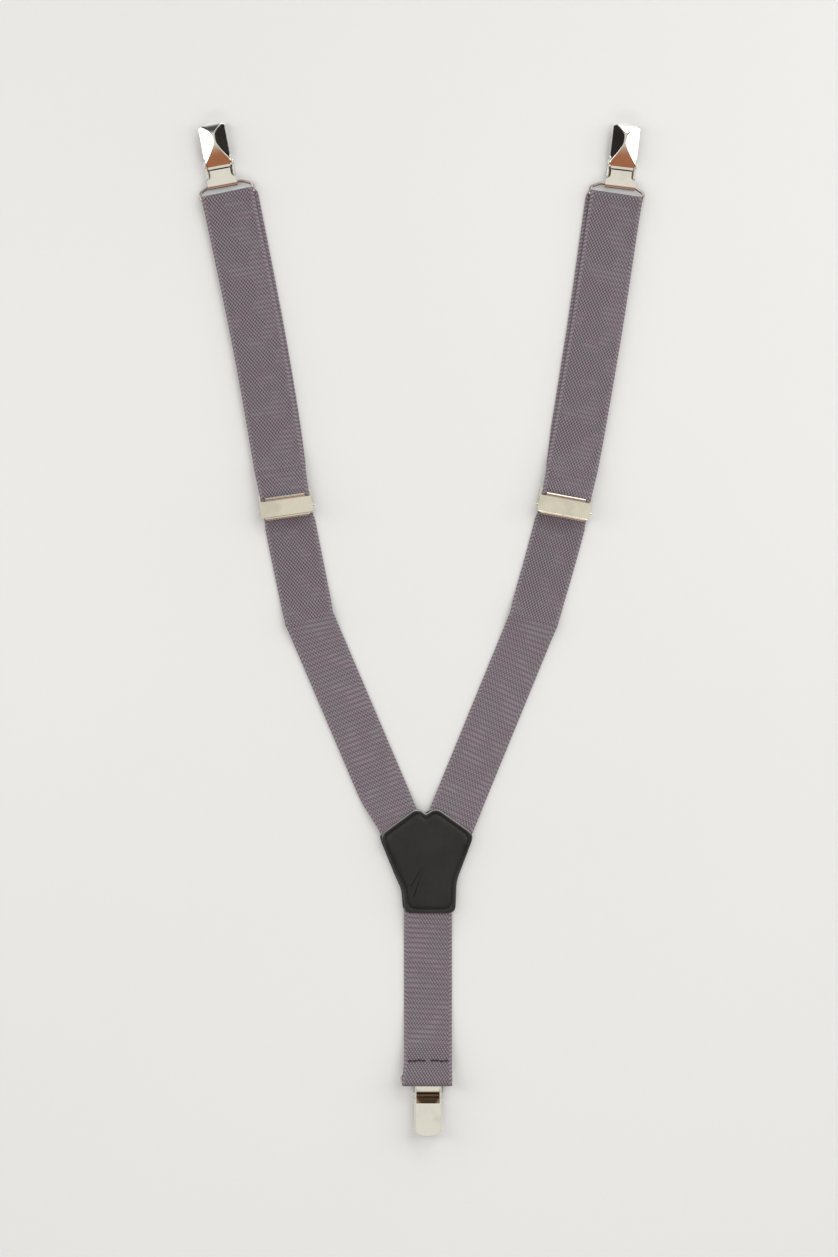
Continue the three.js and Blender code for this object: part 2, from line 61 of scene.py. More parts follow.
# ---- Sizes, in millimetres ----
WEB = {"half_width": 12.5, "half_thick": 0.65, "step": 0.7, "bead_pitch": 2.1, "bead_depth": 0.16}
LAYER = 1.6  # one thickness of webbing and the gap over it
ON_GROUND = 0.65  # centre height of webbing that lies on the ground
TURN_RADIUS = 1.70  # centre line of the webbing round a wire
IN_YOKE = 2.15  # centre height of the webbing between the two leathers
FOLD = {"rise": 1.95, "reach": 21.0, "curve": 2.2}
BETWEEN = {"left": (-87.5, 266.8), "right": (86.2, 266.8)}  # a point that each front strap passes
FOLD_TURN = {"left": 12.0, "right": -12.0}  # degrees, direction of the fold line
MITRE_REACH = 24.0
PEEK = {"left": (0.9, 1.3, 2.1), "right": (1.4, 1.8, 2.1)}  # rear layer in sight: low, halfway, high
BACK_END_TOP = 4.45  # centre height of the upper layer of the back strap's end
CURVE_STEPS = 400  # points from one stop of a strap's curve to the next
WIRE = {
    "radius": 0.75,
    "half_wide": 13.9,
    "half_narrow": 9.0,
    "depth": 6.5,
    "side_rise": 4.0,
    "butt_gap": 0.4,
    "back_narrower": 1.1,  # the back loop's half width is this much less
    "back_shift": -0.8,  # and it sits off its joint by this much in X
}
CLIP = {
    "sheet": 0.8,
    "roll_radius": 1.45,
    "pivot": (11.4, 1.75),
    "jaw": (16.4, -0.4),
    "half_cover": 7.15,
    "half_tail": 6.6,
    "root": 8.9,
    "tip": 32.1,
    "tip_arch": 1.7,
    "apex_y": 23.4,
    "lower_reach": 12.4,
    "rim_low": 2.05,
    "rim_high": 2.95,
    "apex_rise": 2.4,
    "cover_sheet": 0.6,
}
ADJUSTER_PIVOT = (-1.2, 4.85)
PIN_RADIUS = 0.6
LEATHER = {"thick": 1.2, "front_low": 3.1, "seam_inset": 2.2, "stitch_pitch": 2.6}
REAR_LEATHER_SHIFT = (-0.7, 0.2)


# ---- Camera, light and ground ----
def make_camera():
    """Straight down from 1.6 m, its long side fitted to the photograph's framing."""
    height = 1.6
    seen_length = 0.655
    data = bpy.data.cameras.new("camera")
    data.sensor_width = 36
    data.lens = data.sensor_width * height / seen_length
    data.clip_start = 0.05
    data.clip_end = 100
    camera = bpy.data.objects.new("camera", data)
    camera.location = (-0.0044, 0.1217, height)
    bpy.context.scene.collection.objects.link(camera)
    bpy.context.scene.camera = camera


def make_softbox(name, place, size, radiance, in_metal=True):
    """A rectangular light aimed at the middle of the straps. in_metal says whether metal reflects it."""
    middle = Vector((0, 0.12, 0))
    data = bpy.data.lights.new(name, "AREA")
    data.shape = "RECTANGLE"
    data.size, data.size_y = size
    data.energy = radiance * math.pi * size[0] * size[1]
    data.color = (1.0, 0.995, 0.98)
    light = bpy.data.objects.new(name, data)
    light.location = place
    light.rotation_mode = "QUATERNION"
    light.rotation_quaternion = (middle - light.location).to_track_quat("-Z", "Y")
    light.visible_glossy = in_metal
    bpy.context.scene.collection.objects.link(light)


def make_lights():
    for name, side in (("left_softbox", -1), ("right_softbox", 1)):
        make_softbox(name, (side * 0.93, 0.3, 0.8), (0.52, 1.6), 2.55)
    make_softbox("top_softbox", (0.6, 1.25, 1.0), (1.1, 0.6), 2.7)
    make_softbox("fill_softbox", (0, -1.05, 0.95), (1.6, 0.4), 2.6, in_metal=False)


class Maths:
    """A number in a shader's node tree. Sums on it add Math nodes."""

    def __init__(self, tree, socket):
        self.tree = tree
        self.socket = socket

    def do(self, operation, *others):
        node = self.tree.nodes.new("ShaderNodeMath")
        node.operation = operation
        for slot, value in zip(node.inputs, (self, *others)):
            if isinstance(value, Maths):
                self.tree.links.new(value.socket, slot)
            else:
                slot.default_value = value
        return Maths(self.tree, node.outputs[0])

    def __add__(self, other):
        return self.do("ADD", other)

    def __sub__(self, other):
        return self.do("SUBTRACT", other)

    def __mul__(self, other):
        return self.do("MULTIPLY", other)

    def wave(self):
        """0 at whole numbers and 1 halfway between them, in straight lines."""
        return self.do("PINGPONG", 0.5) * 2.0

    def clipped(self):
        return self.do("MINIMUM", 1.0).do("MAXIMUM", 0.0)

    def past(self, low, high):
        """Smoothly from 0 at low to 1 at high."""
        node = self.tree.nodes.new("ShaderNodeMapRange")
        node.interpolation_type = "SMOOTHSTEP"
        self.tree.links.new(self.socket, node.inputs["Value"])
        node.inputs["From Min"].default_value = low
        node.inputs["From Max"].default_value = high
        return Maths(self.tree, node.outputs["Result"])

    def between(self, first, second):
        """first where this is 0 and second where it is 1."""
        return self * (second - first) + first


def split(tree, socket):
    node = tree.nodes.new("ShaderNodeSeparateXYZ")
    tree.links.new(socket, node.inputs[0])
    return [Maths(tree, output) for output in node.outputs]


def mix_colours(tree, amount, first, second):
    """A colour socket: first where amount is 0 and second where it is 1. Each is a colour or a socket."""
    node = tree.nodes.new("ShaderNodeMix")
    node.data_type = "RGBA"
    tree.links.new(amount.socket, node.inputs["Factor"])
    for slot, colour in zip([s for s in node.inputs if s.type == "RGBA"], (first, second)):
        if isinstance(colour, tuple):
            slot.default_value = (*colour, 1)
        else:
            tree.links.new(colour, slot)
    return next(s for s in node.outputs if s.type == "RGBA")


def make_world():
    """A studio: a cream ceiling, a warm wall at the -Y side, dark gaps round it and pale walls below."""
    world = bpy.data.worlds.new("studio")
    world.use_nodes = True
    bpy.context.scene.world = world
    tree = world.node_tree
    tree.nodes.clear()
    direction = tree.nodes.new("ShaderNodeTexCoord")
    x, y, z = split(tree, direction.outputs["Generated"])
    side = x.do("ABSOLUTE")
    ceiling = (0.72, 0.70, 0.62)
    warm = (0.36, 0.145, 0.07)
    dark = (0.02, 0.017, 0.015)
    wall = (0.42, 0.42, 0.42)
    bright_wall = (1.1, 1.06, 1.02)
    grey_screen = (0.07, 0.075, 0.075)
    backdrop = (0.8, 0.8, 0.79)
    towards_viewer = (y * -1.0).past(0.04, 0.30)
    colour = mix_colours(tree, towards_viewer, ceiling, warm)
    left_ahead = y.past(0.3, 0.66) * (x * -1.0).past(-0.08, 0.02)
    colour = mix_colours(tree, left_ahead, colour, grey_screen)
    colour = mix_colours(tree, side.past(0.30, 0.44), colour, dark)
    around = mix_colours(tree, y.past(0.5, 0.75), wall, bright_wall)
    colour = mix_colours(tree, (z * -1.0).past(-0.6, -0.35), colour, around)
    seen = tree.nodes.new("ShaderNodeLightPath")
    colour = mix_colours(tree, Maths(tree, seen.outputs["Is Camera Ray"]), colour, backdrop)
    background = tree.nodes.new("ShaderNodeBackground")
    tree.links.new(colour, background.inputs["Color"])
    output = tree.nodes.new("ShaderNodeOutputWorld")
    tree.links.new(background.outputs[0], output.inputs["Surface"])


def new_material(name, **settings):
    """A material whose shader's sockets are set by name. Returns it, its tree and its shader."""
    material = bpy.data.materials.new(name)
    material.use_nodes = True
    tree = material.node_tree
    shader = tree.nodes["Principled BSDF"]
    for socket, value in settings.items():
        shader.inputs[socket.replace("_", " ")].default_value = value
    return material, tree, shader


def noise(tree, scale, detail=3.0, vector=None):
    """Noise from 0 to 1 in the object's own metres, or in another vector's units."""
    node = tree.nodes.new("ShaderNodeTexNoise")
    node.inputs["Scale"].default_value = scale
    node.inputs["Detail"].default_value = detail
    if vector is None:
        vector = tree.nodes.new("ShaderNodeTexCoord").outputs["Object"]
    tree.links.new(vector, node.inputs["Vector"])
    return Maths(tree, node.outputs["Fac"])


def bump(tree, shader, height, distance, strength=1.0):
    node = tree.nodes.new("ShaderNodeBump")
    node.inputs["Distance"].default_value = distance
    node.inputs["Strength"].default_value = strength
    tree.links.new(height.socket, node.inputs["Height"])
    tree.links.new(node.outputs["Normal"], shader.inputs["Normal"])


def tint(tree, shader, amount, first, second):
    """Gives a shader the colour first where amount is 0 and second where it is 1."""
    tree.links.new(mix_colours(tree, amount, first, second), shader.inputs["Base Color"])


def webbing_material():
    """Elastic webbing: a steep 2/1 twill in staggered rows, cross ribs and a twisted selvedge.

    The weave's second coordinate counts from the fold. Below the fold the ribs show more than the twill.
    """
    row_pitch = 1.05
    twill_pitch = 1.5
    stagger = 0.62
    material, tree, shader = new_material("webbing", Roughness=0.92)
    shader.inputs["Specular IOR Level"].default_value = 0.2
    shader.inputs["Sheen Weight"].default_value = 0.15
    shader.inputs["Sheen Roughness"].default_value = 0.4
    uv = tree.nodes.new("ShaderNodeUVMap")
    uv.uv_map = "weave"
    across, along, _ = split(tree, uv.outputs["UV"])
    patches = noise(tree, 0.085, 2.0, uv.outputs["UV"])
    row = along * (1 / row_pitch)
    column = across * (1 / twill_pitch) + row.do("FLOOR") * (stagger / twill_pitch)
    twill = column.wave().past(0.15, 0.8)
    rib = (along * (0.4 / row_pitch) + across * 0.02).wave().past(0.05, 0.75)
    sewn_end = (along + 176.0).past(0.0, 6.0) * (along * -1.0).past(130.0, 136.0)
    ribbed = (along * -1.0).past(-4.0, 4.0) * 0.5 + (patches + across * 0.006).past(0.48, 0.62) * 0.5
    ribbed = ribbed * (sewn_end * -0.9 + 1.0)
    edge = across.do("ABSOLUTE")
    selvedge = edge.past(10.7, 11.2)
    tick = (along * (1 / WEB["bead_pitch"]) + edge * 0.3).wave().past(0.2, 0.62)
    woven = ribbed.between(twill * (row.wave() * 0.4 + 0.6), rib * 0.36 + twill * 0.36 + 0.14)
    height = selvedge.between(woven, tick * 0.6 + 0.25)
    tone = noise(tree, 0.11, 2.0, uv.outputs["UV"]).past(0.42, 0.6)
    yarn = noise(tree, 1.3, 3.0, uv.outputs["UV"])
    low = mix_colours(tree, tone, (0.043, 0.035, 0.043), (0.042, 0.037, 0.044))
    high = mix_colours(tree, tone, (0.312, 0.264, 0.306), (0.302, 0.272, 0.306))
    tint(tree, shader, (height * 0.85 + yarn * 0.3).clipped(), low, high)
    bump(tree, shader, height, 0.0002, 0.9)
    return material


def leather_material(name, shade):
    """Smooth black leather with a fine grain and slightly worn, greyer spots."""
    material, tree, shader = new_material(name, Roughness=0.5)
    shader.inputs["Specular IOR Level"].default_value = 0.38
    wear = noise(tree, 90.0, 4.0)
    tint(tree, shader, wear.past(0.35, 0.75), shade, tuple(v * 1.35 for v in shade))
    cells = tree.nodes.new("ShaderNodeTexVoronoi")
    cells.inputs["Scale"].default_value = 1900.0
    tree.links.new(tree.nodes.new("ShaderNodeTexCoord").outputs["Object"], cells.inputs["Vector"])
    pores = Maths(tree, cells.outputs["Distance"])
    wrinkles = noise(tree, 420.0, 5.0)
    tree.links.new(wrinkles.between(0.42, 0.62).socket, shader.inputs["Roughness"])
    bump(tree, shader, pores * 0.5 + wrinkles, 0.00008, 0.5)
    return material


def leather_edge_material():
    """The leather's painted edge, shinier than its face, with a painted highlight where it faces +Y."""
    material, tree, shader = new_material("leather_edge", Roughness=0.28)
    shader.inputs["Specular IOR Level"].default_value = 0.9
    rubbed = noise(tree, 500.0, 3.0)
    colour = mix_colours(tree, rubbed.past(0.35, 0.7), (0.014, 0.014, 0.014), (0.022, 0.022, 0.022))
    facing = tree.nodes.new("ShaderNodeNewGeometry").outputs["Normal"]
    _, ahead, _ = split(tree, facing)
    # Painted highlight: where the edge's normal faces +Y, towards the top softbox, it is tinted pale grey.
    tint(tree, shader, ahead.past(0.3, 0.5), colour, (0.30, 0.30, 0.31))
    bump(tree, shader, rubbed, 0.00004, 0.3)
    return material


def thread_material(name, shade):
    """Twisted thread: fine bands across it."""
    material, tree, shader = new_material(name, Roughness=0.7)
    bands = noise(tree, 2600.0, 2.0)
    tint(tree, shader, bands.past(0.35, 0.65), shade, tuple(v * 1.8 for v in shade))
    bump(tree, shader, bands, 0.00005, 0.6)
    return material


def metal_material(name, shade, smooth, rough, brushed):
    """Plated sheet metal, its roughness varied by handling marks and drawn streaks."""
    material, tree, shader = new_material(name, Metallic=1.0)
    marks = noise(tree, 260.0, 5.0)
    tarnish = noise(tree, 70.0, 3.0)
    tree.links.new(marks.between(smooth, rough).socket, shader.inputs["Roughness"])
    tint(tree, shader, tarnish.past(0.4, 0.7), shade, tuple(v * 0.86 for v in shade))
    stretch = tree.nodes.new("ShaderNodeMapping")
    stretch.inputs["Scale"].default_value = (1.0, 0.08, 1.0)
    tree.links.new(tree.nodes.new("ShaderNodeTexCoord").outputs["Object"], stretch.inputs["Vector"])
    streaks = noise(tree, 1500.0, 2.0, stretch.outputs["Vector"])
    bump(tree, shader, streaks * 0.3 + tarnish, 0.00004, brushed)
    return material


def plastic_material():
    material, tree, shader = new_material("grip_plastic", Roughness=0.55)
    speckle = noise(tree, 900.0, 3.0)
    tint(tree, shader, speckle.past(0.4, 0.6), (0.70, 0.68, 0.63), (0.78, 0.76, 0.72))
    bump(tree, shader, speckle, 0.00005, 0.4)
    return material


def make_ground():
    """A wide pale sheet, faintly uneven in tone."""
    material, tree, shader = new_material("ground", Roughness=0.75)
    tone = noise(tree, 2.2, 3.0)
    tint(tree, shader, tone.past(0.2, 0.8), (0.795, 0.822, 0.835), (0.82, 0.847, 0.86))
    half = 25.0
    corners = [(-half, -half, 0), (half, -half, 0), (half, half, 0), (-half, half, 0)]
    mesh = bpy.data.meshes.new("ground")
    mesh.from_pydata(corners, [], [(0, 1, 2, 3)])
    mesh.materials.append(material)
    ground = bpy.data.objects.new("ground", mesh)
    ground.location.z = -0.0002
    bpy.context.scene.collection.objects.link(ground)


# ---- Mesh tools ----
def piece(name, points, faces, material, uv=None, place=None, sharp=40):
    """A smooth-shaded mesh piece from points in millimetres. place is the matrix of their own frame."""
    points = np.asarray(points, float) * MM
    mesh = bpy.data.meshes.new(name)
    mesh.from_pydata(points.tolist(), [], faces)
    if place is not None:
        mesh.transform(place)
    mesh.validate()
    if uv is not None:
        layer = mesh.uv_layers.new(name="weave")
        corners = np.array([loop.vertex_index for loop in mesh.loops])
        layer.data.foreach_set("uv", np.asarray(uv, float)[corners].ravel())
    mesh.materials.append(material)
    mesh.shade_smooth()
    mesh.set_sharp_from_angle(angle=math.radians(sharp))
    made = bpy.data.objects.new(name, mesh)
    bpy.context.scene.collection.objects.link(made)
    return made


def stand_in(thing, body, node):
    """Puts a piece on its body, in place of a CAD node."""
    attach(thing, body)
    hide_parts(node)


def rounded_edges(thing, width):
    bevel = thing.modifiers.new("rounded_edges", "BEVEL")
    bevel.width = width * MM
    bevel.segments = 2
    bevel.limit_method = "ANGLE"
    bevel.angle_limit = math.radians(45)
    bevel.harden_normals = True


def shell(outer, inner, keep=None):
    """Points and faces of a closed shell between two grids. keep says which cells are there."""
    rows, columns = outer.shape[:2]
    if keep is None:
        keep = np.ones((rows - 1, columns - 1), bool)
    points = np.concatenate([outer.reshape(-1, 3), inner.reshape(-1, 3)])
    under = rows * columns
    faces = []
    for i, j in np.argwhere(keep):
        a, b = i * columns + j, i * columns + j + 1
        c, d = b + columns, a + columns
        faces.append((a, b, c, d))
        faces.append((d + under, c + under, b + under, a + under))
        beside = ((i - 1, j), (i, j + 1), (i + 1, j), (i, j - 1))
        for p, q, (m, n) in zip((a, b, c, d), (b, c, d, a), beside):
            inside = 0 <= m < rows - 1 and 0 <= n < columns - 1
            if not (inside and keep[m, n]):
                faces.append((q, p, p + under, q + under))
    return points, [tuple(int(v) for v in face) for face in faces]


def tube(path, radius, sides=16, taper=()):
    """Points and faces of a closed round bar along a path. taper scales its first and last rings."""
    path = np.asarray(path, float)
    tangents = np.gradient(path, axis=0)
    tangents /= np.linalg.norm(tangents, axis=1)[:, None]
    normal = np.cross(tangents[0], (0.3, 0.5, 0.81))
    normal /= np.linalg.norm(normal)
    radii = np.full(len(path), float(radius))
    for i, share in enumerate(taper):
        radii[i] *= share
        radii[-1 - i] *= share
    angles = np.linspace(0, 2 * math.pi, sides, endpoint=False)
    points = []
    for place, tangent, size in zip(path, tangents, radii):
        normal = normal - tangent * (normal @ tangent)
        normal /= np.linalg.norm(normal)
        other = np.cross(tangent, normal)
        points += [place + size * (math.cos(t) * normal + math.sin(t) * other) for t in angles]
    faces = [tuple(reversed(range(sides)))]
    for i in range(len(path) - 1):
        for j in range(sides):
            a, b = i * sides + j, i * sides + (j + 1) % sides
            faces.append((a, b, b + sides, a + sides))
    last = (len(path) - 1) * sides
    faces.append(tuple(range(last, last + sides)))
    return np.array(points), faces


def joined(*parts):
    """Several (points, faces) as one."""
    points, faces = [], []
    count = 0
    for some_points, some_faces in parts:
        points.append(np.asarray(some_points, float))
        faces += [tuple(v + count for v in face) for face in some_faces]
        count += len(some_points)
    return np.concatenate(points), faces


def box_part(x, y, z):
    """Points and faces of a plain block, which a bevel then rounds."""
    points = [(a, b, c) for c in z for b in y for a in x]
    faces = [(0, 2, 3, 1), (4, 5, 7, 6), (0, 1, 5, 4), (2, 6, 7, 3), (0, 4, 6, 2), (1, 3, 7, 5)]
    return points, faces


# ---- Straps ----
def corner_bend(before, here, after, reach, steps):
    """Points round a corner's bend. before and after lead away from the corner along its two sides."""
    start = here + before / np.linalg.norm(before) * reach
    end = here + after / np.linalg.norm(after) * reach
    t = np.linspace(0, 1, steps)[:, None]
    return (1 - t) ** 2 * start + 2 * t * (1 - t) * here + t**2 * end


def catmull_rom(stops):
    """A centripetal curve through the stops."""
    stops = np.asarray(stops, float)
    ends = (2 * stops[0] - stops[1], 2 * stops[-1] - stops[-2])
    knots = np.vstack([ends[0], stops, ends[1]])
    points = []
    for p0, p1, p2, p3 in zip(knots, knots[1:], knots[2:], knots[3:]):
        d0, d1, d2 = (math.sqrt(np.linalg.norm(b - a)) for a, b in ((p0, p1), (p1, p2), (p2, p3)))
        m1 = ((p1 - p0) / d0 - (p2 - p0) / (d0 + d1) + (p2 - p1) / d1) * d1
        m2 = ((p2 - p1) / d1 - (p3 - p1) / (d1 + d2) + (p3 - p2) / d2) * d1
        t = np.linspace(0, 1, CURVE_STEPS, endpoint=False)[:, None]
        squared = 3 * (p2 - p1) - 2 * m1 - m2
        cubed = 2 * (p1 - p2) + m1 + m2
        points.append(p1 + m1 * t + squared * t**2 + cubed * t**3)
    return np.vstack([*points, stops[-1]])


class StrapPath:
    """The line in plan that a strap follows, by distance along it. It runs on straight past both ends."""

    def __init__(self, points, mitres=()):
        spare = 40.0
        points = np.asarray(points, float)
        first = points[0] - points[1]
        last = points[-1] - points[-2]
        before = points[0] + first / np.linalg.norm(first) * spare
        after = points[-1] + last / np.linalg.norm(last) * spare
        self.points = np.vstack([before, points, after])
        lengths = np.linalg.norm(np.diff(self.points, axis=0), axis=1)
        self.distance = np.concatenate([[0], np.cumsum(lengths)]) - spare
        self.tangents = np.diff(self.points, axis=0) / lengths[:, None]
        self.mitres = mitres
        self.length = self.distance[-1] - spare

    def at(self, along):
        """Places and headings at these distances."""
        along = np.asarray(along, float)
        i = np.clip(np.searchsorted(self.distance, along, side="right") - 1, 0, len(self.tangents) - 1)
        heading = self.tangents[i]
        return self.points[i] + heading * (along - self.distance[i])[..., None], heading

    def lay(self, across, along):
        """Points of the strap's own plane laid on the path, with its rows turned to meet a fold line."""
        place, heading = self.at(along)
        shift = np.zeros_like(along)
        for at, slope_before, slope_after, reach in self.mitres:
            slope = np.where(along < at, slope_before, slope_after)
            shift += across * slope * np.clip(1 - np.abs(along - at) / reach, 0, None)
        right = np.stack([heading[..., 1], -heading[..., 0]], axis=-1)
        return place + right * across[..., None] + heading * shift[..., None]

    def point(self, along):
        """The place at this distance, in metres, at the height of webbing on the ground."""
        place, _ = self.at(along)
        return tuple(np.append(place, ON_GROUND) * MM)


def centre_line(knots, soften):
    """A strip's centre line through (along, height) knots, evenly stepped, its corners softened."""
    knots = np.asarray(knots, float)
    lengths = np.concatenate([[0], np.cumsum(np.linalg.norm(np.diff(knots, axis=0), axis=1))])
    count = max(8, int(round(lengths[-1] / WEB["step"])))
    steps = np.linspace(0, lengths[-1], count + 1)
    line = np.stack([np.interp(steps, lengths, knots[:, k]) for k in (0, 1)], axis=1)
    for _ in range(soften):
        line[1:-1] = (line[:-2] + 2 * line[1:-1] + line[2:]) / 4
    return line, steps


def web_section():
    """The webbing's cross-section: across and up, once round, with fuller rounded selvedges."""
    half, thick = WEB["half_width"], WEB["half_thick"]
    flat = np.linspace(-half + 0.9, half - 0.9, 15)
    crown = 1 - 0.05 * (flat / half) ** 2
    edge = [(half - 0.45, 0.93), (half - 0.12, 0.6), (half, 0.0), (half - 0.12, -0.6), (half - 0.45, -0.93)]
    top = [(u, thick * c) for u, c in zip(flat, crown)]
    right = [(u, thick * c) for u, c in edge]
    bottom = [(u, -w) for u, w in reversed(top)]
    left = [(-u, w) for u, w in reversed(right)]
    return np.array(top + right + bottom + left)


def web(
    name,
    node,
    bodies,
    path,
    knots,
    material,
    shape,
    blended=None,
    soften=0,
    v_from=0.0,
    held="laid",
    rests_on=(),
):
    """A closed strip of webbing along a strap path, in place of a CAD node.

    shape takes the distances along the path and along the strip, and gives the strip's left and
    right half widths and how far it is moved to the right, in mm. v_from is the weave's coordinate
    at the strip's start. The strip rides on its one body, or, where blended is given, is baked in place on no
    body.
    """
    line, steps = centre_line(knots, soften)
    tangent = np.gradient(line, axis=0)
    tangent /= np.linalg.norm(tangent, axis=1)[:, None]
    normal = np.stack([-tangent[:, 1], tangent[:, 0]], axis=1)
    section = web_section()
    across = np.broadcast_to(section[:, 0], (len(line), len(section))).copy()
    up = section[:, 1]
    woven_at = steps + v_from
    uv = np.stack([across, np.broadcast_to(woven_at[:, None], across.shape)], axis=-1)
    beads = np.abs(((woven_at / WEB["bead_pitch"]) % 1) - 0.5) * 2
    edge = np.clip((np.abs(across) - WEB["half_width"] + 0.5) / 0.5, 0, 1)
    across -= np.sign(across) * edge * (WEB["bead_depth"] * beads)[:, None]
    left, right, moved = (np.broadcast_to(v, steps.shape)[:, None] for v in shape(line[:, 0], steps))
    across = across / WEB["half_width"] * np.where(across > 0, right, left) + moved
    along = line[:, :1] + normal[:, :1] * up
    height = line[:, 1:] + normal[:, 1:] * up
    plan = path.lay(across, along)
    points = np.concatenate([plan, height[..., None]], axis=-1).reshape(-1, 3)
    sides = len(section)
    faces = [tuple(range(sides))]
    for i in range(len(line) - 1):
        for j in range(sides):
            a, b = i * sides + j, i * sides + (j + 1) % sides
            faces.append((b, a, a + sides, b + sides))
    last = (len(line) - 1) * sides
    faces.append(tuple(reversed(range(last, last + sides))))
    made = piece(name, points, faces, material, uv=uv.reshape(-1, 2), sharp=60)
    if blended is None:
        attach(made, *bodies)
    else:
        start, end = (path.point(at) for at in blended)
        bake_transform(made)
    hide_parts(node)


def arc(centre, radius, start, end, steps=14):
    turns = np.radians(np.linspace(start, end, steps + 1))
    return [(centre[0] + radius * math.cos(t), centre[1] + radius * math.sin(t)) for t in turns]


def fold_height(distance):
    """Height of the strap near its fold, which stands up as a low ridge."""
    return ON_GROUND + FOLD["rise"] * max(0.0, 1 - abs(distance) / FOLD["reach"]) ** FOLD["curve"]


def joint_at(name):
    """A joint's place, in mm."""
    return np.array(JOINTS[name]["pos_m"], float) / MM


def front_path(side):
    """A front strap's whole line, and how far along it the fold, the adjuster and the wire are."""
    flex = joint_at(f"{side}_strap_flex")[:2]
    fold = joint_at(f"{side}_strap_fold")[:2]
    wire = joint_at(f"{side}_loop_swing")[:2]
    centre = adjuster_place(side) @ Vector((0, 0, 0))
    adjuster = (np.array(centre, float) / MM)[:2]
    upper = catmull_rom([fold, adjuster, BETWEEN[side], wire])
    stops = np.cumsum(np.linalg.norm(np.diff(upper, axis=0), axis=1))
    fold_at = float(np.linalg.norm(fold - flex))
    adjuster_at = fold_at + float(stops[CURVE_STEPS - 1])
    wire_at = fold_at + float(stops[-1])

    def slope(heading):
        return math.tan(math.radians(FOLD_TURN[side]) - math.atan2(-heading[0], heading[1]))

    mitre = (fold_at, slope(fold - flex), slope(upper[1] - upper[0]), MITRE_REACH)
    path = StrapPath(np.vstack([flex, upper]), [mitre])
    return path, fold_at, adjuster_at, wire_at


